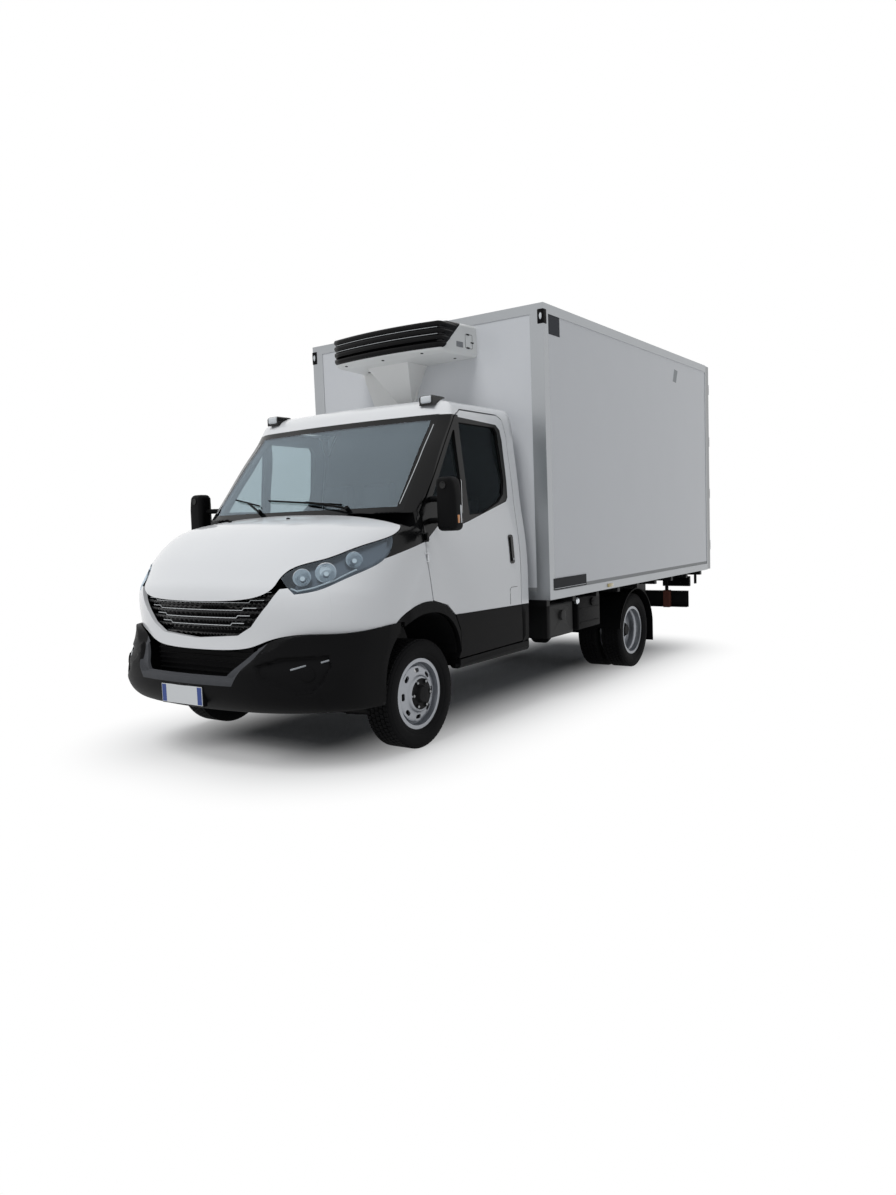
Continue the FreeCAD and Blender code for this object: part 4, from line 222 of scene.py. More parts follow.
def grained(tree, size, depth):
    """Normal of a moulded, woven or sprayed grain of a size and depth in metres."""
    place = add(tree, "ShaderNodeTexCoord", out="Object")
    height = add(tree, "ShaderNodeTexNoise", links={"Vector": place, "Scale": 1.0 / size, "Detail": 2.0},
                 out="Fac")
    return add(tree, "ShaderNodeBump", links={"Height": height, "Distance": depth, "Strength": 1.0})


def pane(tree, code, clear, edge):
    """Shader of a thin pane: lets light straight through, tinted, with a clear reflection."""
    through = add(tree, "ShaderNodeBsdfTransparent", links={"Color": linear(code)})
    shine = add(tree, "ShaderNodeBsdfGlossy", links={"Color": linear("#D6E4F0"), "Roughness": 0.0})
    # The index turns over on a back face, where light leaves the glass
    back = add(tree, "ShaderNodeNewGeometry", out="Backfacing")
    change = add(tree, "ShaderNodeMath", {"operation": "MULTIPLY"}, {0: back, 1: GLASS_IOR - 1 / GLASS_IOR})
    bend = add(tree, "ShaderNodeMath", {"operation": "SUBTRACT"}, {0: GLASS_IOR, 1: change})
    rim = add(tree, "ShaderNodeFresnel", links={"IOR": bend})
    share = add(tree, "ShaderNodeMath", {"operation": "MULTIPLY"}, {0: rim, 1: edge})
    share = add(tree, "ShaderNodeMath", {"operation": "ADD"}, {0: share, 1: 1.0 - clear})
    return add(tree, "ShaderNodeMixShader", links={0: share, 1: through, 2: shine})


def glass(name, code, clear, edge=0.9):
    """Clear or tinted glass."""
    material, tree = blank_material(name)
    surface(tree, pane(tree, code, clear, edge))
    return material


def plastic_shader(tree, code, rough=0.52, grain=True):
    """Moulded black plastic, grained or glossy."""
    links = {"Base Color": linear(code), "Roughness": rough, "Specular IOR Level": 0.07 if grain else 0.2}
    if grain:
        links["Normal"] = grained(tree, MOULD_GRAIN, 0.3 * MM)
    return add(tree, "ShaderNodeBsdfPrincipled", links=links)


# Lines of the cab side, as Y and Z from the front axle, outlines turning from the rear over the top
PILLAR_BASE = ((-0.312, 1.200), (0.061, 1.284))
PILLAR_TOP = ((0.30, 2.112), (1.10, 2.098))
PILLAR_REAR = 0.60
MIRROR_BASE = ((0.061, 1.284), (0.170, 1.350))
MIRROR_BASE_REAR = 0.10
SURROUND = ((1.118, 1.560), (1.128, 1.660), (1.134, 1.960), (1.118, 2.040), (1.070, 2.074), (0.300, 2.106),
            (0.300, 1.330), (0.565, 1.397), (0.872, 1.462), (1.010, 1.492), (1.082, 1.520))
CLAD_TOP = ((0.33, 0.803), (1.30, 0.785))
CLAD_FRONT = 0.20


def side_paint(looks):
    """Cab side: paint with the glossy black pillar and window surround, and the lower cladding."""
    material, tree = blank_material("enamelled_steel_with_black_trim")
    place = add(tree, "ShaderNodeTexCoord", out="Object")
    pillar = all_of(tree, past(tree, place, *PILLAR_BASE), ahead_of(tree, place, PILLAR_REAR),
                    all_but(tree, past(tree, place, *PILLAR_TOP)),
                    any_of(tree, past(tree, place, *MIRROR_BASE), ahead_of(tree, place, MIRROR_BASE_REAR)))
    black = any_of(tree, pillar, inside(tree, place, SURROUND))
    clad = all_of(tree, all_but(tree, past(tree, place, *CLAD_TOP)),
                  all_but(tree, ahead_of(tree, place, CLAD_FRONT)))
    paint = add(tree, "ShaderNodeBsdfPrincipled", links={"Base Color": linear(looks.paint), "Roughness": 0.3,
                                                         "Coat Weight": 0.6, "Coat Roughness": 0.04})
    upper = add(tree, "ShaderNodeMixShader",
                links={0: black, 1: paint, 2: plastic_shader(tree, "#0E0E0F", 0.22, False)})
    surface(tree, add(tree, "ShaderNodeMixShader",
                      links={0: clad, 1: upper, 2: plastic_shader(tree, looks.trim)}))
    return material


SCREEN_FOOT_HALF = 0.879
SCREEN_HEAD_HALF = 0.821
SCREEN_FOOT_Z = 1.476
SCREEN_HEAD_Z = 2.112
SCREEN_BORDER = 0.045
SCREEN_BAND_LOW = 1.505
SCREEN_BAND_HIGH = 2.072


def screen_glass():
    """Windscreen with its black printed border."""
    material, tree = blank_material("laminated_glass")
    place = add(tree, "ShaderNodeTexCoord", out="Object")
    lean = (SCREEN_FOOT_HALF - SCREEN_HEAD_HALF) / (SCREEN_HEAD_Z - SCREEN_FOOT_Z)
    level = SCREEN_FOOT_HALF - SCREEN_BORDER + lean * SCREEN_FOOT_Z
    border = any_of(tree, side_of(tree, place, (1, 0, lean), level),
                    side_of(tree, place, (-1, 0, lean), level),
                    side_of(tree, place, (0, 0, 1), SCREEN_BAND_HIGH),
                    side_of(tree, place, (0, 0, -1), -SCREEN_BAND_LOW))
    surface(tree, add(tree, "ShaderNodeMixShader",
                      links={0: border, 1: pane(tree, "#E3EAEB", 0.91, 0.8),
                             2: plastic_shader(tree, "#121314", 0.12, False)}))
    return material


HUB_RADIUS = 0.098


def rim_finish():
    """Silver wheel with a black hub centre."""
    material, tree = blank_material("silver_wheel_enamel")
    place = add(tree, "ShaderNodeTexCoord", out="Object")
    hub = any_of(tree, *[round_mask(tree, place, y, TYRE_RADIUS, HUB_RADIUS) for y in (0.0, WHEELBASE)])
    surface(tree, add(tree, "ShaderNodeMixShader", links={0: hub, 1: solid_shader(tree, "#A4A7AC", 0.32, 0.6),
                                                          2: plastic_shader(tree, "#151516", 0.45)}))
    return material


# Lower and upper end of the left edge of the bumper's intake, as X and Z
STEP_LINE = ((0.350, 0.548), (0.500, 0.790))
STEP_BAND = 0.06
STEP_RISE = 0.025
STEP_REAR = -0.75


def bumper_finish(looks):
    """Black bumper with its grey step round the intake."""
    material, tree = blank_material("moulded_bumper_plastic")
    place = add(tree, "ShaderNodeTexCoord", out="Object")
    wide = add(tree, "ShaderNodeVectorMath", {"operation": "ABSOLUTE"}, {0: place})
    (x0, z0), (x1, z1) = STEP_LINE
    run = Vector((x1 - x0, z1 - z0)).normalized()
    level = run.y * (x0 + STEP_BAND) - run.x * z0
    band = all_of(tree, all_but(tree, side_of(tree, wide, (run.y, 0, -run.x), level)),
                  side_of(tree, place, (0, 0, 1), z0 - STEP_RISE), ahead_of(tree, place, STEP_REAR))
    surface(tree, add(tree, "ShaderNodeMixShader", links={0: band, 1: plastic_shader(tree, looks.trim),
                                                          2: plastic_shader(tree, looks.step)}))
    return material


REAR_FACE = 5.081
RAISED = 0.003


def rear_door_finish(looks):
    """Box panel whose raised lock bars and hinges are bare steel."""
    material, tree = blank_material("gel_coat_with_steel_bars")
    place = add(tree, "ShaderNodeTexCoord", out="Object")
    raised = side_of(tree, place, (0, 1, 0), REAR_FACE + RAISED - MIDDLE)
    surface(tree, add(tree, "ShaderNodeMixShader",
                      links={0: raised, 1: solid_shader(tree, looks.panel, 0.38, coat=0.25),
                             2: solid_shader(tree, "#8E9092", 0.34, 0.9)}))
    return material


LAMP_TIP = 0.655


def tray_finish():
    """Silver-grey lamp tray whose inner tip is black."""
    material, tree = blank_material("metallised_lamp_tray")
    place = add(tree, "ShaderNodeTexCoord", out="Object")
    wide = add(tree, "ShaderNodeVectorMath", {"operation": "ABSOLUTE"}, {0: place})
    tip = all_but(tree, side_of(tree, wide, (1, 0, 0), LAMP_TIP))
    surface(tree, add(tree, "ShaderNodeMixShader", links={0: tip, 1: solid_shader(tree, "#5E646E", 0.25, 0.5),
                                                          2: plastic_shader(tree, "#131417", 0.3)}))
    return material


# Slanted line on the cooling unit's ends ahead of which it is black, as Y and Z
WRAP_LOW = (1.012, 2.655)
WRAP_HIGH = (1.230, 2.868)
WRAP_SKIRT = 0.008


def unit_finish():
    """White shell whose front and slanted ends are black."""
    material, tree = blank_material("gel_coat_unit_shell")
    place = add(tree, "ShaderNodeTexCoord", out="Object")
    wrap = all_of(tree, past(tree, place, WRAP_LOW, WRAP_HIGH),
                  side_of(tree, place, (0, 0, 1), WRAP_LOW[1] + WRAP_SKIRT))
    surface(tree, add(tree, "ShaderNodeMixShader",
                      links={0: wrap, 1: solid_shader(tree, "#E4E5E3", 0.34, coat=0.3),
                             2: plastic_shader(tree, "#070708", 0.2, False)}))
    return material


M = {}


def make_materials(looks):
    """Every finish of the truck."""
    # Sprayed enamel on steel, even and glossy
    M["paint"] = simple("enamelled_steel", looks.paint, 0.32, coat=0.6, spread=0.015)
    M["side"] = side_paint(looks)
    # Gel coat on glass fibre, satin with a faint orange peel
    M["panel"] = simple("gel_coat_panel", looks.panel, 0.38, coat=0.25, grain=PANEL_PEEL,
                        grain_depth=0.12 * MM, spread=0.02)
    M["shell"] = simple("gel_coat_shell", "#E9E9E7", 0.34, coat=0.3, spread=0.02)
    M["rear_door"] = rear_door_finish(looks)
    M["unit"] = unit_finish()
    # Drawn and anodised aluminium, a soft metallic grey
    M["alloy"] = simple("anodised_aluminium", "#A9ACAF", 0.36, 0.85, spread=0.05)
    # Moulded polypropylene, nearly black and dull, with a leather grain
    M["trim"] = simple("moulded_polypropylene", looks.trim, 0.52, grain=MOULD_GRAIN,
                       grain_depth=0.4 * MM, shine=0.07, spread=0.15)
    M["inner"] = simple("moulded_dashboard_plastic", "#1B1C1E", 0.6, grain=INNER_GRAIN,
                        grain_depth=0.4 * MM, shine=0.2)
    M["bumper"] = bumper_finish(looks)
    # Moulded ABS, smooth and glossy
    M["gloss_black"] = simple("glossy_abs", "#09090A", 0.14, shine=0.3)
    M["slat"] = simple("satin_abs", "#060607", 0.24, shine=0.12)
    # Rubber, matt and nearly black, greyer where dust sits on the tyres
    M["rubber"] = simple("seal_rubber", "#0B0B0C", 0.7, shine=0.1)
    M["tyre"] = simple("tyre_rubber", "#131314", 0.78, grain=TYRE_GRAIN, grain_depth=0.4 * MM, shine=0.1,
                       spread=0.25)
    # Chassis enamel and cast iron, dark with patches of dust
    M["frame"] = simple("chassis_enamel", "#141415", 0.5, shine=0.2, spread=0.3)
    M["iron"] = simple("cast_iron", "#1E1E1E", 0.6, shine=0.2, spread=0.3)
    # Zinc-plated steel, a pale metallic grey for painted highlights, and enamel over a rusty strap
    M["steel"] = simple("zinc_plated_steel", "#8E9092", 0.34, 0.9, spread=0.08)
    # Painted highlight: pale grey for the thin lines that stand in for the shine on glossy black grille bars
    # and slats and the glint on the windscreen's edges
    M["bright"] = simple("painted_highlight_grey", "#B9BCBE", 0.25, 0.6)
    M["rim"] = rim_finish()
    M["strap"] = simple("primed_steel", "#6B3A2E", 0.7)
    # Silvered glass and metallised plastic, which mirror what is round them
    M["chrome"] = simple("silvered_glass", "#D8DADC", 0.06, 1.0)
    M["reflector"] = simple("metallised_reflector", "#C8CCD0", 0.1, 1.0)
    M["lamp_tray"] = tray_finish()
    # Woven seat cloth, dull and dark grey
    M["cloth"] = simple("woven_polyester", "#2A2B2F", 0.9, grain=CLOTH_WEAVE, grain_depth=0.6 * MM,
                        spread=0.15)
    # Load floor of resin with grit
    M["floor"] = simple("gritted_resin", "#8D8F90", 0.5, grain=FLOOR_GRIT, grain_depth=0.4 * MM)
    # Moulded lamp lenses, deep in colour under a clear gloss
    M["red"] = simple("red_acrylic", "#8E0F0B", 0.12, coat=0.6)
    M["amber"] = simple("amber_acrylic", "#D8821E", 0.14, coat=0.6)
    M["amber_pale"] = simple("pale_amber_acrylic", "#C9B77E", 0.16, coat=0.6)
    M["lamp_white"] = simple("white_acrylic", "#D9DDE0", 0.12, coat=0.6)
    M["lamp_grey"] = simple("grey_acrylic", "#8B8F93", 0.2, coat=0.4)
    # Printed film on plates and labels, left blank
    M["plate"] = simple("white_plate_film", "#D8DADB", 0.35)
    M["plate_blue"] = simple("blue_plate_film", "#123A86", 0.35)
    M["plate_dark"] = simple("dark_film", "#303339", 0.5, shine=0.1)
    M["label_dark"] = simple("black_label_film", "#1C1E22", 0.5, shine=0.1)
    M["sticker_grey"] = simple("grey_film", "#878D90", 0.4)
    # Glass, nearly clear in front and dark at the sides, and clear lamp lenses
    M["screen"] = screen_glass()
    M["side_glass"] = glass("tinted_glass", "#D3D9DA", 0.998, 0.12)
    M["lens"] = glass("clear_polycarbonate", "#E6EEF2", 0.96)


NODE_LOOKS = {
    "ladder_frame": "frame", "front_suspension": "iron", "rear_axle": "iron", "leaf_springs": "frame",
    "engine_block": "iron", "driveline": "iron", "exhaust": "steel", "side_tanks": "frame",
    "cab_shell": "side", "front_wings": "side", "nose_panel": "paint", "front_bumper": "bumper",
    "grille": "gloss_black", "headlamps": "gloss_black", "windscreen": "screen", "cladding": "trim",
    "arch_liners": "rubber", "dashboard": "inner", "steering_wheel": "inner", "seats": "cloth",
    "roof_lamps": "gloss_black", "box_floor": "floor", "box_roof": "panel", "box_front_wall": "panel",
    "box_sides": "panel", "box_rear_frame": "steel", "box_edge_profiles": "alloy", "box_subframe": "frame",
    "cooling_housing": "unit", "cooling_louvres": "gloss_black", "cooling_duct": "shell",
    "evaporator": "shell", "rear_mudguards": "trim", "underrun_bar": "frame", "rear_lamps": "trim",
    "bonnet": "paint", "knuckle": "iron", "rim_front": "rim", "tyre_front": "tyre", "rims_rear": "rim",
    "tyres_rear": "tyre", "door": "side", "door_glass": "side_glass", "mirror": "trim",
    "box_door": "rear_door",
}
# Nodes whose coarse CAD facets get smoothed in a copy that stands for them
SMOOTH = ("cab_shell", "front_wings", "nose_panel", "front_bumper", "cladding", "windscreen", "bonnet",
          "door", "door_glass", "cooling_housing", "cooling_louvres", "rim_front", "rims_rear",
          "steering_wheel", "rear_axle", "exhaust", "driveline", "side_tanks", "rear_mudguards", "grille",
          "roof_lamps", "dashboard", "knuckle", "front_suspension")
# Nodes with a dark lining on the faces that look into the cab
LINED = ("cab_shell", "front_wings", "door", "bonnet")


def base_name(node):
    """A node's name without its side."""
    return node.removesuffix("_left").removesuffix("_right")


# Making of pieces

def finish_mesh(bm, name, material, body, angle=35.0):
    """Turns a bmesh into a shaded piece that rides on a body."""
    mesh = bpy.data.meshes.new(name)
    bm.to_mesh(mesh)
    bm.free()
    mesh.polygons.foreach_set("use_smooth", [True] * len(mesh.polygons))
    mesh.set_sharp_from_angle(angle=math.radians(angle))
    for key in material if isinstance(material, list) else [material]:
        mesh.materials.append(M[key])
    piece = bpy.data.objects.new(name, mesh)
    bpy.context.scene.collection.objects.link(piece)
    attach(piece, body)
    return piece


def moved(bm, verts, matrix):
    """Moves new vertices by a matrix."""
    bmesh.ops.transform(bm, matrix=matrix, verts=verts)


def add_box(bm, low, high, bevel=0.0, segments=2):
    """A box between two corners, with rounded edges."""
    size = Vector(high) - Vector(low)
    made = bmesh.ops.create_cube(bm, size=1.0)["verts"]
    bmesh.ops.scale(bm, vec=size, verts=made)
    if bevel:
        edges = list({e for v in made for e in v.link_edges})
        out = bmesh.ops.bevel(bm, geom=edges, offset=bevel, offset_type="OFFSET", segments=segments,
                              affect="EDGES", profile=0.5, material=-1)
        made = list({v for f in out["faces"] for v in f.verts} | {v for v in made if v.is_valid})
    bmesh.ops.translate(bm, vec=Vector(low) + size / 2, verts=made)
    return made


def add_tube(bm, start, end, radius, sides=16):
    """A closed round bar between two points."""
    a, b = Vector(start), Vector(end)
    turn = (b - a).to_track_quat("Z", "Y").to_matrix().to_4x4()
    return bmesh.ops.create_cone(bm, cap_ends=True, segments=sides, radius1=radius, radius2=radius,
                                 depth=(b - a).length, matrix=Matrix.Translation((a + b) / 2) @ turn)["verts"]


def extruded(bm, face):
    """Grows a face out of itself and gives back its new end's vertices and face."""
    # With its edges given, a face that other faces already border isn't left behind inside
    grown = bmesh.ops.extrude_face_region(bm, geom=[face] + face.edges[:])["geom"]
    verts = [g for g in grown if isinstance(g, bmesh.types.BMVert)]
    return verts, next(g for g in grown if isinstance(g, bmesh.types.BMFace))


def add_path(bm, points, radius, sides=10):
    """A closed tube of one radius along points."""
    points = [Vector(p) for p in points]
    places = []
    for i, p in enumerate(points):
        ahead = points[min(i + 1, len(points) - 1)] - points[max(i - 1, 0)]
        places.append(Matrix.Translation(p) @ ahead.to_track_quat("Z", "Y").to_matrix().to_4x4())
    quarter = Matrix.Rotation(-math.pi / 2, 4, "Z")
    made = bmesh.ops.create_circle(bm, cap_ends=True, segments=sides, radius=radius,
                                   matrix=places[0] @ quarter)["verts"]
    end = made[0].link_faces[0]
    for old, new in zip(places, places[1:]):
        verts, end = extruded(bm, end)
        moved(bm, verts, new @ old.inverted())
        made = made + verts
    bmesh.ops.recalc_face_normals(bm, faces=list({f for v in made for f in v.link_faces}))


def add_spun(bm, profile, centre, along=(1, 0, 0), start=(0, 0, 1), steps=48):
    """A profile of (distance along, radius) turned fully about an axis through a centre."""
    centre, along, start = Vector(centre), Vector(along), Vector(start)
    verts = [bm.verts.new(centre + along * a + start * r) for a, r in profile]
    edges = [bm.edges.new(pair) for pair in zip(verts, verts[1:])]
    bmesh.ops.spin(bm, geom=verts + edges, cent=centre, axis=along, angle=math.tau, steps=steps,
                   use_merge=True, use_duplicate=False)


def add_prism(bm, outline, low, high, axis):
    """A flat outline of two-number points drawn along an axis, X or Y, from low to high."""
    place = {"x": lambda a, b, t: (t, a, b), "y": lambda a, b, t: (a, t, b)}[axis]
    face = bm.faces.new([bm.verts.new(place(a, b, low)) for a, b in outline])
    foot = face.verts[:]
    top = extruded(bm, face)[0]
    bmesh.ops.translate(bm, vec=place(0, 0, high - low), verts=top)
    bmesh.ops.recalc_face_normals(bm, faces=bm.faces[:])
    return foot + top


def rounded_outline(y0, y1, z0, z1, radius, steps=6):
    """Corners of a rectangle with round corners."""
    out = []
    for cy, cz, start in ((y1 - radius, z1 - radius, 0), (y0 + radius, z1 - radius, 1),
                          (y0 + radius, z0 + radius, 2), (y1 - radius, z0 + radius, 3)):
        for i in range(steps + 1):
            a = math.radians(90 * (start + i / steps))
            out.append((cy + radius * math.cos(a), cz + radius * math.sin(a)))
    return out


def both_sides(build, name, material, body):
    """Builds a left piece and its right twin, each on its own side's body or both on one."""
    for side in SIDES:
        bm = bmesh.new()
        build(bm)
        if side < 0:
            bmesh.ops.scale(bm, vec=(-1, 1, 1), verts=bm.verts[:])
            bmesh.ops.reverse_faces(bm, faces=bm.faces[:])
        rides = body + "_" + SIDE_NAMES[side] if body + "_left" in frame["bodies"] else body
        finish_mesh(bm, name + "_" + SIDE_NAMES[side], material, rides)


def paired_boxes(corners, name, material, body, bevel=0.0, segments=2):
    """A left and a right piece of boxes, each between two corners given from the front axle."""
    def build(bm):
        for low, high in corners:
            add_box(bm, at(*low), at(*high), bevel, segments)

    both_sides(build, name, material, body)


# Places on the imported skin

TREES = {}


def tree_of(node):
    """Search tree over a CAD node's surface."""
    if node not in TREES:
        mesh = NODES[node].data
        TREES[node] = BVHTree.FromPolygons([v.co for v in mesh.vertices], [p.vertices for p in mesh.polygons])
    return TREES[node]


def touch(nodes, start, direction):
    """Place and outward normal where a ray first meets any of the nodes."""
    hits = [tree_of(node).ray_cast(start, direction) for node in nodes]
    hits = [hit for hit in hits if hit[0] is not None]
    if not hits:
        raise RuntimeError("no surface of %s ahead of %s" % (nodes, start))
    place, normal = min(hits, key=lambda hit: hit[3])[:2]
    return place, normal if normal.dot(direction) < 0 else -normal


def side_point(nodes, y, z):
    """Place and normal on the left side of nodes."""
    return touch(nodes, at(1.6, y, z), Vector((-1, 0, 0)))


def front_point(nodes, x, z):
    """Place and normal on the front of nodes."""
    return touch(nodes, at(x, -2.0, z), Vector((0, 1, 0)))


def laid(find, nodes, points, lift, step=0.03):
    """A drawn line laid on the skin of nodes, lifted a little off it."""
    out = []
    for (a0, b0), (a1, b1) in zip(points, points[1:]):
        count = max(1, round(math.hypot(a1 - a0, b1 - b0) / step))
        for i in range(count + 1):
            place, normal = find(nodes, a0 + (a1 - a0) * i / count, b0 + (b1 - b0) * i / count)
            if not out or (place - out[-1]).length > step / 10:
                out.append(place + normal * lift)
    return out


def seat_on(find, nodes, a, b):
    """Matrix whose axes point out of the skin, along it and up it."""
    place, normal = find(nodes, a, b)
    up = (Vector((0, 0, 1)) - normal * normal.z).normalized()
    turn = Matrix((normal, up.cross(normal), up)).transposed().to_4x4()
    return Matrix.Translation(place) @ turn


# CAD pieces

CAB_MIDDLE = at(0.0, 0.550, 1.250)
LINING_EDGE = 0.800
MERGE = 0.02 * MM


def looks_inside(face):
    """Whether a face looks into the cab; the faces of a door opening's edge don't."""
    centre = face.calc_center_median()
    if abs(centre.x) > LINING_EDGE and abs(face.normal.x) < 0.5:
        return False
    return face.normal.dot((CAB_MIDDLE - centre).normalized()) > 0.25


def merged_copy(node):
    """A bmesh of a CAD node with its loose triangles merged."""
    bm = bmesh.new()
    bm.from_mesh(NODES[node].data)
    bmesh.ops.remove_doubles(bm, verts=bm.verts[:], dist=MERGE)
    return bm


def smooth_copy(node, key):
    """A merged, smoothly shaded copy of a CAD node that stands for it."""
    bm = merged_copy(node)
    lined = base_name(node) in LINED
    for face in bm.faces:
        face.material_index = 1 if lined and looks_inside(face) else 0
    piece = finish_mesh(bm, node + "_skin", [key, "inner"] if lined else key, BODY_OF[node], 28.0)
    piece.modifiers.new("normals", "WEIGHTED_NORMAL").keep_sharp = True
    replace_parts(piece, node)


def dress_nodes():
    """Gives every CAD node its finish, smoothing those that need it."""
    for node, thing in NODES.items():
        key = NODE_LOOKS[base_name(node)]
        if base_name(node) in SMOOTH:
            smooth_copy(node, key)
        else:
            thing.data.materials.clear()
            thing.data.materials.append(M[key])


# Front

GRILLE_BARS = 6
GRILLE_BAR_LOW = 0.7854
GRILLE_BAR_PITCH = 0.04467
GRILLE_BAR_HEIGHT = 0.018
GRILLE_LINE_RADIUS = 0.0028
GRILLE_STEP = 0.013
GRILLE_STEP_INSIDE = 0.10
# Half widths of the painted highlight lines, from the second bar up
GRILLE_REACH = (0.36, 0.41, 0.46, 0.51, 0.55)


def grille_place(x, z):
    """Place just ahead of a grille bar."""
    level = GRILLE_BAR_LOW + GRILLE_BAR_HEIGHT / 2
    bar = max(0, min(GRILLE_BARS - 1, round((z - level) / GRILLE_BAR_PITCH)))
    place = front_point(["grille"], x, level + bar * GRILLE_BAR_PITCH)[0]
    return Vector((x, place.y - 0.002, z))


def grille_highlights():
    """Painted highlights along the upper edges of the glossy grille bars, each with a step near its ends."""
    bm = bmesh.new()
    for i, reach in enumerate(GRILLE_REACH):
        z = GRILLE_BAR_LOW + (i + 1) * GRILLE_BAR_PITCH + GRILLE_BAR_HEIGHT
        top = z + GRILLE_STEP
        inner = reach - GRILLE_STEP_INSIDE
        line = [(-reach, top), (-inner - GRILLE_STEP, top), (-inner, z), (inner, z),
                (inner + GRILLE_STEP, top), (reach, top)]
        places = []
        for (x0, z0), (x1, z1) in zip(line, line[1:]):
            count = max(1, round(abs(x1 - x0) / 0.04))
            places += [grille_place(x0 + (x1 - x0) * k / count, z0 + (z1 - z0) * k / count)
                       for k in range(count)]
        add_path(bm, places + [grille_place(*line[-1])], GRILLE_LINE_RADIUS, 8)
    finish_mesh(bm, "grille_highlights", "bright", "chassis")


LAMP_VIEW = Vector((0.55, -0.75, 0.35)).normalized()
LAMP_FACING = 0.6
LAMP_DEPTH = 0.045
# Bowls as X, Z and radius
LAMP_BOWLS = ((0.700, 1.118, 0.052), (0.800, 1.140, 0.060), (0.885, 1.205, 0.048))
BOWL_SINK = 0.35 * LAMP_DEPTH
# A bowl's wall as distance ahead and share of its radius, and its bulb as distance ahead and radius
BOWL_WALL = ((0.012, 1.0), (0.010, 0.96), (-0.008, 0.80), (-0.024, 0.45))
BULB = ((-0.030, 0.016), (-0.012, 0.014), (-0.008, 0.0))
LAMP_STRIP = ((0.665, 1.062), (0.700, 1.045), (0.775, 1.062), (0.850, 1.098), (0.910, 1.150))
LAMP_STRIP_SINK = 0.012
LAMP_STRIP_RADIUS = 0.005


def lamp_shell(side, view):
    """A headlamp's walls with their floor behind, and its front faces alone, as two bmeshes."""
    shells = []
    for keep_front in (False, True):
        bm = merged_copy("headlamps")
        bmesh.ops.delete(bm, geom=[v for v in bm.verts if v.co.x * side < 0], context="VERTS")
        front = [f for f in bm.faces if f.normal.dot(view) > LAMP_FACING]
        if keep_front:
            bmesh.ops.delete(bm, geom=list(set(bm.faces) - set(front)), context="FACES")
        else:
            made = bmesh.ops.duplicate(bm, geom=front)["geom"]
            verts = [g for g in made if isinstance(g, bmesh.types.BMVert)]
            bmesh.ops.translate(bm, vec=-view * LAMP_DEPTH, verts=verts)
            bmesh.ops.delete(bm, geom=front, context="FACES_ONLY")
        shells.append(bm)
    return shells


def headlamp(side):
    """A headlamp with a clear lens, dark tray, bright bowls and a light strip."""
    name = SIDE_NAMES[side]
    view = Vector((LAMP_VIEW.x * side, LAMP_VIEW.y, LAMP_VIEW.z))
    tray, lens = lamp_shell(side, view)
    for piece in (finish_mesh(tray, "headlamp_tray_" + name, "lamp_tray", "chassis"),
                  finish_mesh(lens, "headlamp_lens_" + name, "lens", "chassis")):
        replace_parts(piece, "headlamps")
    bm = bmesh.new()
    for x, z, radius in LAMP_BOWLS:
        place = front_point(["headlamps"], x, z)[0]
        centre = Vector((place.x * side, place.y, place.z)) - view * BOWL_SINK
        profile = [(ahead, radius * share) for ahead, share in BOWL_WALL] + list(BULB)
        add_spun(bm, profile, centre, view, view.to_track_quat("Z", "Y") @ Vector((1, 0, 0)), 32)
    bmesh.ops.remove_doubles(bm, verts=bm.verts[:], dist=0.01 * MM)
    finish_mesh(bm, "headlamp_bowls_" + name, "reflector", "chassis", 50.0)
    bm = bmesh.new()
    strip = laid(front_point, ["headlamps"], LAMP_STRIP, -LAMP_STRIP_SINK)
    add_path(bm, [Vector((v.x * side, v.y, v.z)) for v in strip], LAMP_STRIP_RADIUS, 8)
    finish_mesh(bm, "headlamp_strip_" + name, "lamp_white", "chassis")


PLATE_HALF = 0.180
PLATE_LOW = 0.398
PLATE_HIGH = 0.508
PLATE_BAND = 0.042
PLATE_MARGIN = 0.004
PLATE_FRONT = -1.0612
PLATE_THICK = 0.003
HOLDER_EDGE = 0.006
HOLDER_DEPTH = 0.030


def number_plate():
    """Blank plate with two blue end bands on a black holder."""
    back = PLATE_FRONT + PLATE_THICK
    bm = bmesh.new()
    add_box(bm, at(-PLATE_HALF, PLATE_FRONT, PLATE_LOW), at(PLATE_HALF, back, PLATE_HIGH), 0.001, 1)
    finish_mesh(bm, "front_plate", "plate", "chassis")
    band = ((PLATE_HALF - PLATE_BAND, PLATE_FRONT - 0.0004, PLATE_LOW + PLATE_MARGIN),
            (PLATE_HALF - PLATE_MARGIN, back, PLATE_HIGH - PLATE_MARGIN))
    paired_boxes([band], "front_plate_band", "plate_blue", "chassis")
    bm = bmesh.new()
    add_box(bm, at(-PLATE_HALF - HOLDER_EDGE, back, PLATE_LOW - HOLDER_EDGE),
            at(PLATE_HALF + HOLDER_EDGE, back + HOLDER_DEPTH, PLATE_HIGH + HOLDER_EDGE), 0.003, 1)
    finish_mesh(bm, "front_plate_holder", "trim", "chassis")


INTAKE_HALF = 0.42
INTAKE_Y = -0.872
INTAKE_LOW = 0.520
INTAKE_HIGH = 0.735
INTAKE_RIBS = 7
INTAKE_THICK = 0.006
INTAKE_RIB_DEPTH = 0.012
INTAKE_RIB_HALF = 0.003


def intake_screen():
    """Dark ribbed screen behind the lower intake."""
    bm = bmesh.new()
    add_box(bm, at(-INTAKE_HALF, INTAKE_Y, INTAKE_LOW),
            at(INTAKE_HALF, INTAKE_Y + INTAKE_THICK, INTAKE_HIGH))
    for i in range(INTAKE_RIBS):
        z = INTAKE_LOW + (i + 0.5) * (INTAKE_HIGH - INTAKE_LOW) / INTAKE_RIBS
        add_box(bm, at(-INTAKE_HALF, INTAKE_Y - INTAKE_RIB_DEPTH, z - INTAKE_RIB_HALF),
                at(INTAKE_HALF, INTAKE_Y, z + INTAKE_RIB_HALF))
    finish_mesh(bm, "intake_screen", "rubber", "chassis")


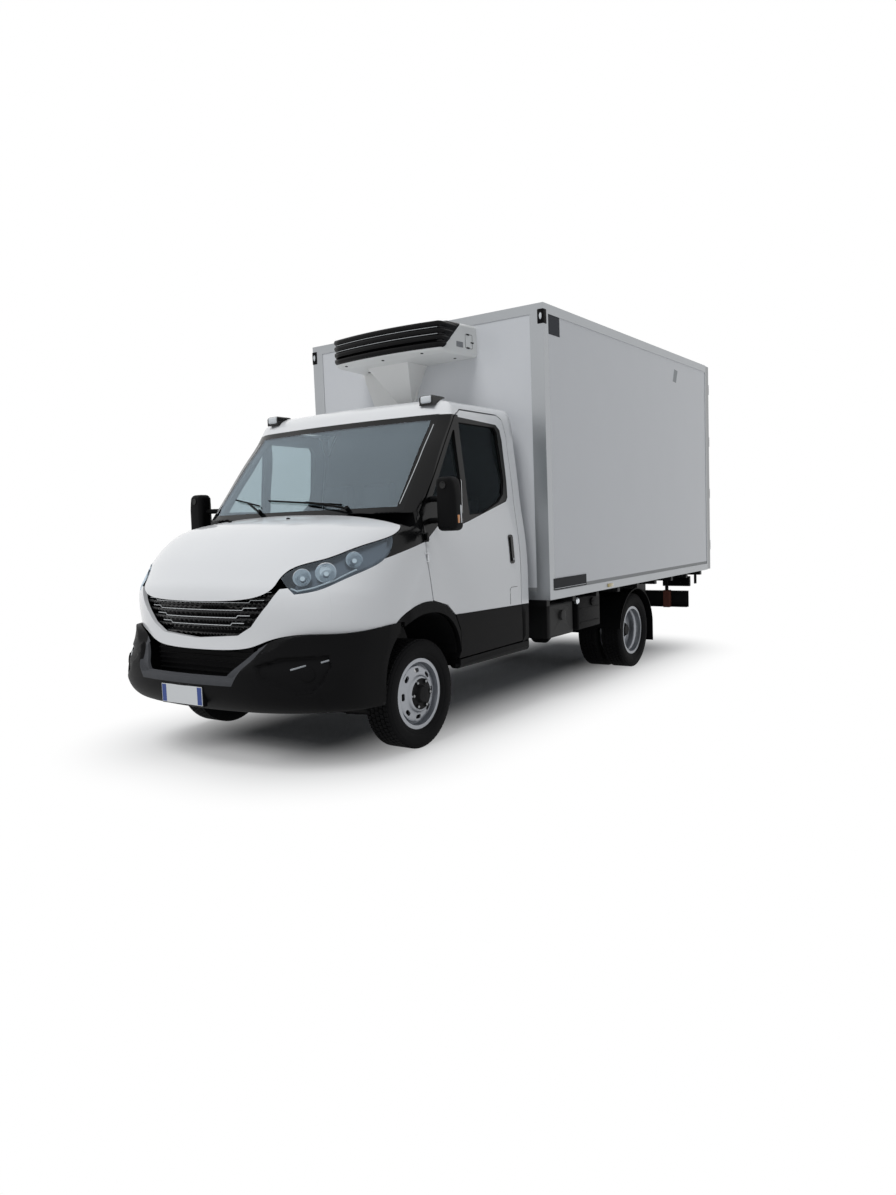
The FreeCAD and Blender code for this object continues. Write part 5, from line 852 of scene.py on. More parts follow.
FOG_STRIPS = (((0.713, -0.880, 0.613), (0.778, -0.823, 0.633)),
              ((0.838, -0.766, 0.645), (0.876, -0.731, 0.657)))
FOG_STRIP_RADIUS = 0.006
FOG_PLACE = (0.800, 0.585)
FOG_RADIUS = 0.040
FOG_BULGE = 0.22


def fog_lamps():
    """Small fog and day light strips in the bumper's recesses."""
    def strips(bm):
        for start, end in FOG_STRIPS:
            add_tube(bm, at(*start), at(*end), FOG_STRIP_RADIUS, 12)

    both_sides(strips, "fog_strip", "lamp_grey", "chassis")

    def lens(bm):
        made = bmesh.ops.create_uvsphere(bm, u_segments=24, v_segments=12, radius=FOG_RADIUS)["verts"]
        seat = seat_on(front_point, ["front_bumper"], *FOG_PLACE)
        moved(bm, made, seat @ Matrix.Diagonal((FOG_BULGE, 1, 1, 1)))

    both_sides(lens, "fog_lens", "trim", "chassis")


# Each wiper's blade start and end, and its arm's root and hold, as X and Z
WIPERS = (((-0.335, 1.551), (-0.655, 1.606), (-0.280, 1.500), (-0.480, 1.578)),
          ((0.424, 1.528), (-0.267, 1.583), (0.496, 1.493), (0.120, 1.556)))
# Blade and its rubber lip as lift off the glass, radius and sides
WIPER_BLADE = ((0.010, 0.0055, 8), (0.004, 0.0030, 6))
# Steps of the arm from its root, its root again, its middle and its hold on the blade
WIPER_ARM = ((0, -0.004, 0.004), (0, -0.022, 0.014), (0, -0.024, 0.014), (0, -0.018, 0.006))
WIPER_ARM_RADIUS = 0.007
WIPER_PIVOT = ((0, 0.004, -0.004), (0, -0.024, 0.022))
WIPER_PIVOT_RADIUS = 0.015
WASHER_JETS = (-0.330, 0.207)
WASHER_Y = -0.330
WASHER_RADIUS = 0.016
WASHER_SHAPE = (1.0, 0.8, 0.5, 1)


def wipers():
    """Two wipers parked on the windscreen's foot, and two washer jets on the bonnet."""
    bm = bmesh.new()
    for start, end, base, hold in WIPERS:
        for lift, radius, sides in WIPER_BLADE:
            add_path(bm, laid(front_point, ["windscreen"], (start, end), lift), radius, sides)
        root = front_point(["windscreen"], *base)[0]
        held = front_point(["windscreen"], *hold)[0]
        feet = (root, root, (root + held) / 2, held)
        add_path(bm, [foot + Vector(step) for foot, step in zip(feet, WIPER_ARM)], WIPER_ARM_RADIUS, 8)
        low, high = (root + Vector(step) for step in WIPER_PIVOT)
        add_tube(bm, low, high, WIPER_PIVOT_RADIUS, 16)
    finish_mesh(bm, "wipers", "rubber", "chassis")
    bm = bmesh.new()
    for x in WASHER_JETS:
        place = touch(["bonnet"], at(x, WASHER_Y, 2.0), Vector((0, 0, -1)))[0]
        made = bmesh.ops.create_uvsphere(bm, u_segments=16, v_segments=8, radius=WASHER_RADIUS)["verts"]
        moved(bm, made, Matrix.Translation(place) @ Matrix.Diagonal(WASHER_SHAPE))
    finish_mesh(bm, "washer_jets", "rubber", "bonnet")


# Painted reflection along each side edge of the windscreen, as X and Z
SCREEN_GLINT = ((0.841, 1.520), (0.832, 1.799), (0.811, 2.040))
SCREEN_GLINT_LIFT = 0.001
SCREEN_GLINT_RADIUS = 0.003


def screen_glints():
    """Painted reflections: thin pale lines along the windscreen's side edges, where light glints off the
    moulding.
    """
    def strip(bm):
        line = laid(front_point, ["windscreen"], SCREEN_GLINT, SCREEN_GLINT_LIFT)
        add_path(bm, line, SCREEN_GLINT_RADIUS, 8)

    both_sides(strip, "screen_glint", "bright", "chassis")


# Sides

HANDLE_PLACE = (1.075, 1.192)
# Half widths and heights of the handle's plate and of its grip, and their corners' radius
PLATE_LINE = (-0.030, 0.030, -0.103, 0.103, 0.022)
GRIP_LINE = (-0.015, 0.015, -0.088, 0.088, 0.012)
# From where to where each stands out of the door
PLATE_RISE = (-0.003, 0.004)
GRIP_RISE = (0.0, 0.011)
LOCK = ((0.010, 0, -0.072), (0.0145, 0, -0.072))
LOCK_RADIUS = 0.009
SEAM_LIFT = 0.0002
SEAM_RADIUS = 0.0016
SEAL_RADIUS = 0.006
FLAP_LINE = ((1.030, 0.800), (1.030, 0.905), (1.046, 0.921), (1.130, 0.921))
LINER_FLAP = ((0.600, 0.3835, 0.455), (0.962, 0.3905, 0.640))


def door_handles():
    """Black door handles on their plates, with a steel lock."""
    def handle(bm):
        seat = seat_on(side_point, ["door_left"], *HANDLE_PLACE)
        for line, (low, high) in ((PLATE_LINE, PLATE_RISE), (GRIP_LINE, GRIP_RISE)):
            moved(bm, add_prism(bm, rounded_outline(*line), low, high, "x"), seat)

    both_sides(handle, "door_handle", "gloss_black", "door")

    def lock(bm):
        seat = seat_on(side_point, ["door_left"], *HANDLE_PLACE)
        moved(bm, add_tube(bm, *LOCK, LOCK_RADIUS, 20), seat)

    both_sides(lock, "door_lock", "steel", "door")


def flap_seam():
    """Thin dark seam of the filler flap in the left door's foot."""
    bm = bmesh.new()
    add_path(bm, laid(side_point, ["door_left"], FLAP_LINE, SEAM_LIFT), SEAM_RADIUS, 6)
    finish_mesh(bm, "flap_seam", "rubber", "door_left")


def window_seals():
    """Rubber round each side window."""
    def seal(bm):
        pane_bm = merged_copy("door_glass_left")
        for e in pane_bm.edges:
            sharp = len(e.link_faces) == 2 and e.calc_face_angle(0) > 0.9
            if sharp and e.link_faces[0].normal.x + e.link_faces[1].normal.x > 0.3:
                add_tube(bm, e.verts[0].co, e.verts[1].co, SEAL_RADIUS, 8)
        pane_bm.free()

    both_sides(seal, "window_seal", "rubber", "door")


MIRROR_INSIDE = 1.075
MIRROR_OUTSIDE = 1.2155
MIRROR_FRONT = 0.046
MIRROR_BACK = 0.160
MIRROR_LOW = 1.344
MIRROR_HIGH = 1.672
MIRROR_EDGE = 0.034
# Heights of the arms; their roots lie further back the higher they are
MIRROR_ARMS = (1.410, 1.545)
MIRROR_ROOT_Y = 0.150
MIRROR_ROOT_LEAN = 0.25
# Steps of an arm off the door's skin, and its places inside the head as X and Y
MIRROR_ARM_ROOT = ((-0.004, 0, 0), (0.030, -0.012, 0))
MIRROR_ARM_END = ((1.085, 0.112), (1.120, 0.108))
MIRROR_ARM_RADIUS = 0.018
MIRROR_TAPER = 0.9 / 0.14
MIRROR_TAPER_FROM = 1.50
MIRROR_CUTS = (1.56, 1.61)
# Panes as the first and last X and Z
MIRROR_GLASS = ((1.094, 1.198, 1.440, 1.655), (1.094, 1.198, 1.358, 1.428))
MIRROR_AMBER = ((1.192, 0.080, 1.386), (1.2158, 0.110, 1.442))
MIRROR_MARKER = ((1.192, 0.114, 1.386), (1.2158, 0.132, 1.500))
MIRROR_EYE = ((-0.003, 0.0), (-0.003, 0.013), (-0.006, 0.017), (-0.006, 0.022), (0.002, 0.024))
MIRROR_EYE_PLACE = (1.140, MIRROR_FRONT, 1.621)
MIRROR_PANE = (-0.0005, 0.0025)
MIRROR_PANE_CORNER = 0.014


def mirror_heads():
    """Round-cornered mirror heads on two arms, in place of the plain ones."""
    def head(bm):
        add_box(bm, at(MIRROR_INSIDE, MIRROR_FRONT, MIRROR_LOW),
                at(MIRROR_OUTSIDE, MIRROR_BACK, MIRROR_HIGH), MIRROR_EDGE, 6)
        for z in MIRROR_CUTS:
            bmesh.ops.bisect_plane(bm, geom=bm.verts[:] + bm.edges[:] + bm.faces[:],
                                   plane_co=(0, 0, z), plane_no=(0, 0, 1))
        for v in bm.verts:
            rise = max(0.0, v.co.z - MIRROR_TAPER_FROM)
            v.co.x -= MIRROR_TAPER * rise * rise * (v.co.x - MIRROR_INSIDE)
        for z in MIRROR_ARMS:
            y = MIRROR_ROOT_Y + (z - MIRROR_ARMS[0]) * MIRROR_ROOT_LEAN
            root = side_point(["door_left"], y, z)[0]
            line = [root + Vector(step) for step in MIRROR_ARM_ROOT] + [at(*end, z) for end in MIRROR_ARM_END]
            add_path(bm, line, MIRROR_ARM_RADIUS, 16)

    both_sides(head, "mirror_head", "trim", "door")
    for name in SIDE_NAMES.values():
        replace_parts(bpy.data.objects["mirror_head_" + name], "mirror_" + name)


def mirror_parts():
    """Mirror glasses, indicator, marker and the small round lens ahead."""
    def panes(bm):
        for x0, x1, z0, z1 in MIRROR_GLASS:
            made = add_prism(bm, rounded_outline(x0, x1, z0, z1, MIRROR_PANE_CORNER), *MIRROR_PANE, "y")
            bmesh.ops.translate(bm, vec=at(0, MIRROR_BACK, 0), verts=made)

    both_sides(panes, "mirror_glass", "chrome", "door")
    paired_boxes([MIRROR_AMBER], "mirror_amber", "amber", "door", 0.006)
    paired_boxes([MIRROR_MARKER], "mirror_marker", "lamp_white", "door", 0.006)

    def eye(bm):
        add_spun(bm, MIRROR_EYE, at(*MIRROR_EYE_PLACE), (0, 1, 0), steps=28)

    both_sides(eye, "mirror_eye", "gloss_black", "door")


ROOF_LENS = ((0.676, 0.478, 2.190), (0.764, 0.545, 2.240))


# Wheels

TREAD_HALF = 0.079
TREAD_DEPTH = 0.008
RIB_PITCH = 0.033
RIB_WIDTH = 0.0265
RIBS = 5
BLOCKS = 64
BLOCK_SHARE = 0.82
# Outer wall from the tread to the bead, as distance from the tyre's middle and radius
TYRE_WALL = ((0.079, 0.3325), (0.0845, 0.3300), (0.0885, 0.3245), (0.0915, 0.3160), (0.0920, 0.3125),
             (0.0945, 0.3105), (0.0965, 0.2960), (0.0972, 0.2815), (0.0958, 0.2660), (0.0930, 0.2560),
             (0.0905, 0.2530), (0.0890, 0.2420), (0.0850, 0.2330), (0.0760, 0.2240), (0.0700, 0.2150),
             (0.0620, 0.2080))
TYRES = {"tyre_front": ((0.862, 0.0),), "tyres_rear": ((0.886, WHEELBASE), (0.656, WHEELBASE))}


def add_tyre(bm, x, y):
    """One tyre with blank walls, ribs and tread blocks."""
    floor = TYRE_RADIUS - TREAD_DEPTH
    other = [(-a, r) for a, r in TYRE_WALL]
    profile = other[::-1] + [(-TREAD_HALF, floor), (TREAD_HALF, floor)] + list(TYRE_WALL) + [other[-1]]
    add_spun(bm, profile, at(x, y, TYRE_RADIUS), steps=72)
    half = math.tau * TYRE_RADIUS / BLOCKS * BLOCK_SHARE / 2
    for rib in range(RIBS):
        low = x + (rib - (RIBS - 1) / 2) * RIB_PITCH - RIB_WIDTH / 2
        for block in range(BLOCKS):
            made = add_box(bm, (low, -half, TYRE_RADIUS - TREAD_DEPTH * 1.4),
                           (low + RIB_WIDTH, half, TYRE_RADIUS))
            turn = Matrix.Rotation(math.tau * (block + 0.5 * (rib % 2)) / BLOCKS, 4, "X")
            moved(bm, made, Matrix.Translation(at(0, y, TYRE_RADIUS)) @ turn)


def tyres():
    """New tyres with tread in place of the plain ones."""
    for kind, places in TYRES.items():
        for side in SIDES:
            node = kind + "_" + SIDE_NAMES[side]
            bm = bmesh.new()
            for x, y in places:
                add_tyre(bm, x * side, y)
            bmesh.ops.recalc_face_normals(bm, faces=bm.faces[:])
            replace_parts(finish_mesh(bm, node + "_tread", "tyre", BODY_OF[node], 30.0), node)


STUD_CIRCLE = 0.085
STUDS = 6
NUT_CAP = ((0.006, 0.0), (0.0055, 0.005), (0.002, 0.009), (-0.006, 0.0095))


def wheel_nuts():
    """Bright caps on the studs of the front wheels."""
    for side in SIDES:
        bm = bmesh.new()
        for k in range(STUDS):
            a = math.tau * k / STUDS
            y, z = STUD_CIRCLE * math.cos(a), TYRE_RADIUS + STUD_CIRCLE * math.sin(a)
            face = side_point(["rim_front_left"], y, z)[0].x
            add_spun(bm, [(side * along, r) for along, r in NUT_CAP], at(side * face, y, z), steps=12)
        bmesh.ops.recalc_face_normals(bm, faces=bm.faces[:])
        name = SIDE_NAMES[side]
        finish_mesh(bm, "wheel_nuts_" + name, "steel", BODY_OF["rim_front_" + name])


# Cooling unit

UNIT_FRONT = 0.938
UNIT_HALF = 0.506
UNIT_BOW = 0.052
UNIT_WALL_HALF = 0.552
UNIT_CORNER_Y = 0.990
UNIT_WALL_Y = 1.405
SLAT_LOW = 2.686
SLAT_PITCH = 0.0485
SLATS = 4
SLAT_RADIUS = 0.021
SLAT_SINK = 0.020
SLAT_BASE = 0.008
SLAT_AHEAD = 0.006
SLAT_CORNER_GAP = 0.02
# How far ahead of the slats the painted sheen lines lie, and their radius
SLAT_SHEEN_AHEAD = 0.012
SLAT_SHEEN_RADIUS = 0.0024
SLAT_END_POINTS = 6
SLAT_FRONT_POINTS = 17
SLAT_FRONT_HALF = 0.490
SLAT_LEAN_FROM = 2.836
SLAT_LEAN = 1.2


def slat_line(z):
    """Path of a slat round the front and the ends of the cooling unit."""
    share = (z - WRAP_LOW[1]) / (WRAP_HIGH[1] - WRAP_LOW[1])
    first = UNIT_CORNER_Y + SLAT_CORNER_GAP
    last = WRAP_LOW[0] + share * (WRAP_HIGH[0] - WRAP_LOW[0]) + 2 * SLAT_RADIUS
    spread = (UNIT_WALL_HALF - UNIT_HALF) / (UNIT_WALL_Y - UNIT_CORNER_Y)
    end = []
    for i in range(SLAT_END_POINTS):
        way = 1 - i / (SLAT_END_POINTS - 1)
        y = first + (last - first) * way
        end.append((UNIT_HALF + (y - UNIT_CORNER_Y) * spread - SLAT_BASE - SLAT_SINK * way ** 2, y))
    lean = max(0.0, z - SLAT_LEAN_FROM) * SLAT_LEAN
    front = []
    for i in range(SLAT_FRONT_POINTS):
        x = SLAT_FRONT_HALF * (1 - 2 * i / (SLAT_FRONT_POINTS - 1))
        front.append((x, UNIT_FRONT + UNIT_BOW * (x / UNIT_HALF) ** 2 + SLAT_AHEAD + lean))
    return [at(x, y, z) for x, y in end + front + [(-x, y) for x, y in reversed(end)]]


def louvre_wrap():
    """Black slats that bulge round the cooling unit's front and ends, and painted sheen lines between them.
    """
    bm = bmesh.new()
    for i in range(SLATS):
        add_path(bm, slat_line(SLAT_LOW + i * SLAT_PITCH), SLAT_RADIUS, 14)
    run = Vector((0, WRAP_HIGH[0] - WRAP_LOW[0], WRAP_HIGH[1] - WRAP_LOW[1])).normalized()
    cut = bmesh.ops.bisect_plane(bm, geom=bm.verts[:] + bm.edges[:] + bm.faces[:], dist=0.01 * MM,
                                 plane_co=at(0, *WRAP_LOW), plane_no=(0, run.z, -run.y), clear_outer=True)
    bmesh.ops.holes_fill(bm, edges=[g for g in cut["geom_cut"] if isinstance(g, bmesh.types.BMEdge)])
    finish_mesh(bm, "unit_slats", "slat", "chassis", 50.0)
    # Painted sheen: pale lines in the upper two gaps between the slats
    bm = bmesh.new()
    for i in range(1, SLATS - 1):
        line = slat_line(SLAT_LOW + (i + 0.5) * SLAT_PITCH)[SLAT_END_POINTS:-SLAT_END_POINTS]
        add_path(bm, [p + Vector((0, -SLAT_SHEEN_AHEAD, 0)) for p in line], SLAT_SHEEN_RADIUS, 8)
    finish_mesh(bm, "unit_slat_sheen", "bright", "chassis", 50.0)


UNIT_SCREWS = ((-0.405, 1.003), (-0.045, 1.011), (0.326, 1.007), (0.420, 1.300), (-0.420, 1.300))
SCREW_RADIUS = 0.011
# The hatch's seam as first and last Y, first and last Z and corner radius
HATCH = (1.272, 1.352, 2.690, 2.792, 0.006)
HATCH_SEAM_RADIUS = 0.0014
HATCH_HINGES = ((1.300, 2.790), (1.300, 2.692), (1.350, 2.735))
HINGE = ((-0.001, -0.016, -0.005), (0.004, 0.016, 0.005))
VENT_PLACE = (1.205, 2.708)
VENT = ((-0.001, -0.038, -0.020), (0.002, 0.038, 0.020))
VENT_BAR = ((0.0, -0.034, -0.001), (0.0035, 0.034, 0.001))
VENT_BARS = 5
VENT_PITCH = 0.0075


def unit_details():
    """Screws under the cooling unit, the hatch with its hinges and the small vent on its ends."""
    bm = bmesh.new()
    for x, y in UNIT_SCREWS:
        place = touch(["cooling_housing"], at(x, y, 2.3), Vector((0, 0, 1)))[0]
        add_tube(bm, place + Vector((0, 0, 0.002)), place - Vector((0, 0, 0.003)), SCREW_RADIUS, 14)
    finish_mesh(bm, "unit_screws", "rubber", "chassis")

    def hatch(bm):
        line = rounded_outline(*HATCH, 2)
        seam = laid(side_point, ["cooling_housing"], line + line[:1], SEAM_LIFT)
        add_path(bm, seam, HATCH_SEAM_RADIUS, 6)
        for place in HATCH_HINGES:
            moved(bm, add_box(bm, *HINGE, 0.001, 1), seat_on(side_point, ["cooling_housing"], *place))

    both_sides(hatch, "unit_hatch", "rubber", "chassis")

    def vent(bm):
        seat = seat_on(side_point, ["cooling_housing"], *VENT_PLACE)
        moved(bm, add_box(bm, *VENT, 0.001, 1), seat)
        for i in range(VENT_BARS):
            rise = Matrix.Translation((0, 0, (i - VENT_BARS // 2) * VENT_PITCH))
            moved(bm, add_box(bm, *VENT_BAR), seat @ rise)

    both_sides(vent, "unit_vent", "steel", "chassis")


# Outline of the duct's back plate as X and Z, on the box's front wall
DUCT_PLATE = ((-0.560, 2.636), (0.060, 2.636), (-0.040, 2.340), (-0.440, 2.340))
DUCT_PLATE_THICK = 0.018


def duct_plate():
    """Flat plate behind the cooling unit's duct."""
    bm = bmesh.new()
    wall = UNIT_WALL_Y - MIDDLE
    add_prism(bm, DUCT_PLATE, wall - DUCT_PLATE_THICK, wall, "y")
    finish_mesh(bm, "duct_plate", "shell", "chassis")


# Box body

BOX_HALF = 1.123
CORNER_CAP = ((1.078, 1.3965, 2.800), (1.1308, 1.448, 2.905))
CORNER_MARKER = (1.106, 1.3965, 2.853)
CORNER_MARKER_RADIUS = 0.020
CORNER_MARKER_SHAPE = (0.55, 0.25, 1.2, 1)
SIDE_PLATE = ((BOX_HALF - 0.001, 1.484, 2.737), (BOX_HALF + 0.0015, 1.657, 2.884))
LABEL_LINE_RADIUS = 0.0016
SIDE_LABEL = ((BOX_HALF - 0.001, 1.453, 0.866), (BOX_HALF + 0.0055, 2.007, 0.952))
LABEL_LINE = ((BOX_HALF + 0.0055, 1.463, 0.876), (BOX_HALF + 0.0055, 1.997, 0.876))
STICKER = ((4.020, 2.680), (4.100, 2.672), (4.150, 2.790), (4.062, 2.800))
STICKER_FROM = BOX_HALF - 0.0005
STICKER_TO = BOX_HALF + 0.0008
SIDE_MARKER = ((BOX_HALF, 2.413, 0.812), (BOX_HALF + 0.016, 2.503, 0.842))


def corner_caps():
    """Black caps with an oval white marker on the front upper corners of the box."""
    def marker(bm):
        made = bmesh.ops.create_uvsphere(bm, u_segments=20, v_segments=10, radius=CORNER_MARKER_RADIUS)
        place = Matrix.Translation(at(*CORNER_MARKER)) @ Matrix.Diagonal(CORNER_MARKER_SHAPE)
        moved(bm, made["verts"], place)

    paired_boxes([CORNER_CAP], "corner_cap", "trim", "chassis", 0.006)
    both_sides(marker, "corner_marker", "lamp_white", "chassis")


def side_patches():
    """Blank plates on the box sides, without any lettering, and amber side marker lamps."""
    def border(bm):
        add_path(bm, [at(*place) for place in LABEL_LINE], LABEL_LINE_RADIUS, 6)

    paired_boxes([SIDE_PLATE], "side_plate", "plate_dark", "chassis")
    paired_boxes([SIDE_LABEL], "side_label", "label_dark", "chassis")
    both_sides(border, "side_label_line", "lamp_white", "chassis")
    bm = bmesh.new()
    add_prism(bm, [(y - MIDDLE, z) for y, z in STICKER], STICKER_FROM, STICKER_TO, "x")
    finish_mesh(bm, "side_sticker", "sticker_grey", "chassis")
    paired_boxes([SIDE_MARKER], "side_marker", "amber_pale", "chassis", 0.005)


# Rear and underside

DOOR_SEAL_LINE = ((0.012, 0.92), (1.060, 0.92), (1.060, 2.85), (0.012, 2.85))
# Lens segments as first and last X and finish, and their first and last Y and Z
TAIL_SEGMENTS = ((0.612, 0.676, "red"), (0.680, 0.744, "red"), (0.748, 0.800, "amber"), (0.804, 0.906, "red"))
TAIL_LOW = (5.054, 0.618)
TAIL_HIGH = (5.064, 0.712)
UNDERRUN_STRAP = ((0.622, 4.985, 0.376), (0.692, 5.0545, 0.566))
UNDERRUN_HANGER = (((0.640, 4.999, 0.560), (0.674, 5.020, 0.800)),
                   ((0.600, 4.990, 0.770), (0.720, 5.030, 0.797)))
REAR_BRACKET = (((0.960, 5.020, 0.640), (0.985, 5.040, 0.800)),
                ((0.930, 5.015, 0.745), (1.015, 5.045, 0.768)))


def door_seals():
    """Seals round the rear doors."""
    def seal(bm):
        for start, end in zip(DOOR_SEAL_LINE, DOOR_SEAL_LINE[1:] + DOOR_SEAL_LINE[:1]):
            backs = [touch(["box_door_left", "box_rear_frame"], at(x, 6.0, z), Vector((0, -1, 0)))[0].y
                     for x, z in (start, end)]
            y = max(backs) + MIDDLE + 0.001
            add_tube(bm, at(start[0], y, start[1]), at(end[0], y, end[1]), SEAL_RADIUS, 8)

    both_sides(seal, "rear_door_seal", "rubber", "box_door")


def tail_lamps():
    """Lens segments on the two tail lamps."""
    for low, high, key in TAIL_SEGMENTS:
        paired_boxes([((low, *TAIL_LOW), (high, *TAIL_HIGH))], "tail_lens_%03d" % round(low * 1000), key,
                     "chassis", 0.003)


def under_box():
    """Brown straps and hangers of the underrun bar, and lamp brackets."""
    paired_boxes([UNDERRUN_STRAP], "underrun_strap", "strap", "chassis", 0.002, 1)
    paired_boxes(UNDERRUN_HANGER, "underrun_hanger", "frame", "chassis", 0.002, 1)
    paired_boxes(REAR_BRACKET, "rear_bracket", "frame", "chassis", 0.002, 1)


EQUIPMENT_LOW = (0.760, 2.085, 0.488)
EQUIPMENT_HIGH = (1.010, 2.500, 0.758)
# Heights of the ribs on its outer face, and a rib's corners from that face and its height
EQUIPMENT_RIBS = (0.540, 0.655)
EQUIPMENT_RIB = ((0.0, 2.120, -0.004), (0.004, 2.470, 0.004))
EQUIPMENT_CAP_PLACE = (EQUIPMENT_HIGH[0], 2.345, 0.700)
# Profiles as distance along and radius
EQUIPMENT_CAP = ((0.0, 0.034), (0.010, 0.034), (0.014, 0.030), (0.014, 0.012), (0.017, 0.010), (0.017, 0.0))
SIDE_LAMP = ((0.0, 0.026), (0.020, 0.026), (0.028, 0.018), (0.030, 0.0))
SIDE_LAMP_PLACE = (1.030, 1.999, 0.735)


def equipment_box():
    """Black box with a round cap ahead of the left rear wheel, and the small round lamp before it."""
    bm = bmesh.new()
    add_box(bm, at(*EQUIPMENT_LOW), at(*EQUIPMENT_HIGH), 0.012, 3)
    add_spun(bm, EQUIPMENT_CAP, at(*EQUIPMENT_CAP_PLACE), steps=32)
    for z in EQUIPMENT_RIBS:
        low, high = (at(*corner) + Vector((EQUIPMENT_HIGH[0], 0, z)) for corner in EQUIPMENT_RIB)
        add_box(bm, low, high, 0.001, 1)
    finish_mesh(bm, "equipment_box", "trim", "chassis")
    bm = bmesh.new()
    add_spun(bm, SIDE_LAMP, at(*SIDE_LAMP_PLACE), steps=24)
    finish_mesh(bm, "side_lamp", "reflector", "chassis")


# Inside the cab

HOOD = ((0.270, 0.250, 1.360), (0.570, 0.430, 1.430))
DISPLAY = ((-0.130, 0.436, 1.190), (0.130, 0.446, 1.330))
DASH_VENTS = (-0.780, -0.230, 0.230, 0.780)
DASH_VENT_HALF = 0.055
# Lower front and upper rear of a vent as Y and Z
DASH_VENT_LOW = (0.434, 1.225)
DASH_VENT_HIGH = (0.446, 1.290)


def dash_details():
    """Instrument hood, centre display and vents of the dashboard."""
    vents = [((x - DASH_VENT_HALF, *DASH_VENT_LOW), (x + DASH_VENT_HALF, *DASH_VENT_HIGH))
             for x in DASH_VENTS]
    for corners, name, key, bevel, segments in (
            ([HOOD], "instrument_hood", "inner", 0.025, 3),
            ([DISPLAY], "centre_display", "gloss_black", 0.006, 2),
            (vents, "dash_vents", "gloss_black", 0.008, 2)):
        bm = bmesh.new()
        for low, high in corners:
            add_box(bm, at(*low), at(*high), bevel, segments)
        finish_mesh(bm, name, key, "chassis")


# Camera and stage

CAMERA_PLACE = at(4.1533, -4.2751, 1.3865)
CAMERA_YAW = 34.826
CAMERA_PITCH = -4.838
CAMERA_ROLL = -2.11
FOCAL_PIXELS = 868.88
PICTURE_HEIGHT = 1195.0
SENSOR = 36.0


def set_camera():
    """The camera at the photograph's view."""
    yaw, pitch, roll = (math.radians(a) for a in (CAMERA_YAW, CAMERA_PITCH, CAMERA_ROLL))
    d = Vector((-math.sin(yaw) * math.cos(pitch), math.cos(yaw) * math.cos(pitch), math.sin(pitch)))
    right = d.cross(Vector((0, 0, 1))).normalized()
    up = right.cross(d)
    turned_right = math.cos(roll) * right + math.sin(roll) * up
    turned_up = -math.sin(roll) * right + math.cos(roll) * up
    turn = Matrix((turned_right, turned_up, -d)).transposed().to_4x4()
    data = bpy.data.cameras.new("camera")
    data.sensor_fit = "VERTICAL"
    data.sensor_height = SENSOR
    data.lens = FOCAL_PIXELS / PICTURE_HEIGHT * SENSOR
    data.clip_end = 200.0
    camera = bpy.data.objects.new("camera", data)
    camera.matrix_world = Matrix.Translation(CAMERA_PLACE) @ turn
    bpy.context.scene.collection.objects.link(camera)
    bpy.context.scene.camera = camera


# Half widths of the middle of the floor's shade, and how far the shade fades round it, in metres
FOOTPRINT = (0.3, 2.2, 0.0)
SHADE_REACH = 1.4
GROUND_HALF = 60.0
WHITE = (1.0, 1.0, 1.0, 1.0)
SUN_ANGLE = 28.0
SUN_FROM = (-0.02, -0.50, 0.86)


def seen_ray(tree):
    """One on the rays that show the background itself."""
    return any_of(tree, *[add(tree, "ShaderNodeLightPath", out=name)
                          for name in ("Is Camera Ray", "Is Glossy Ray", "Is Transmission Ray")])


def set_world(sky):
    """White background that lights from all round with a strength of its own."""
    world = bpy.data.worlds.new("studio")
    world.use_nodes = True
    tree = world.node_tree
    tree.nodes.clear()
    seen = add(tree, "ShaderNodeBackground", links={"Color": WHITE, "Strength": 1.0})
    lit = add(tree, "ShaderNodeBackground", links={"Color": linear("#EEF3FA"), "Strength": sky})
    mixed = add(tree, "ShaderNodeMixShader", links={0: seen_ray(tree), 1: lit, 2: seen})
    add(tree, "ShaderNodeOutputWorld", links={"Surface": mixed})
    bpy.context.scene.world = world


def floor_finish():
    """Pale floor that fades to white away from the truck."""
    material, tree = blank_material("ground")
    diffuse = add(tree, "ShaderNodeBsdfDiffuse", links={"Color": linear("#D2D2D2")})
    white = add(tree, "ShaderNodeEmission", links={"Color": WHITE, "Strength": 1.0})
    place = add(tree, "ShaderNodeTexCoord", out="Object")
    wide = add(tree, "ShaderNodeVectorMath", {"operation": "ABSOLUTE"}, {0: place})
    past_edge = add(tree, "ShaderNodeVectorMath", {"operation": "SUBTRACT"}, {0: wide, 1: FOOTPRINT})
    outside = add(tree, "ShaderNodeVectorMath", {"operation": "MAXIMUM"}, {0: past_edge, 1: (0, 0, 0)})
    far = add(tree, "ShaderNodeVectorMath", {"operation": "LENGTH"}, {0: outside}, "Value")
    share = add(tree, "ShaderNodeMapRange", {"interpolation_type": "SMOOTHSTEP"},
                {0: far, 1: 0.0, 2: SHADE_REACH, 3: 0.0, 4: 1.0})
    share = all_of(tree, share, seen_ray(tree))
    surface(tree, add(tree, "ShaderNodeMixShader", links={0: share, 1: diffuse, 2: white}))
    return material


def set_stage(stage):
    """Pale floor, white background and soft lights."""
    scene = bpy.context.scene
    scene.view_settings.view_transform = "Standard"
    set_world(stage.sky)
    bm = bmesh.new()
    bmesh.ops.create_grid(bm, x_segments=1, y_segments=1, size=GROUND_HALF)
    mesh = bpy.data.meshes.new("ground")
    bm.to_mesh(mesh)
    bm.free()
    mesh.materials.append(floor_finish())
    ground = bpy.data.objects.new("ground", mesh)
    scene.collection.objects.link(ground)
    data = bpy.data.lights.new("key", "SUN")
    data.energy = stage.key
    data.angle = math.radians(SUN_ANGLE)
    lamp = bpy.data.objects.new("key", data)
    lamp.rotation_euler = Vector(SUN_FROM).to_track_quat("Z", "Y").to_euler()
    lamp.visible_glossy = False
    scene.collection.objects.link(lamp)


# Settings that a user would change

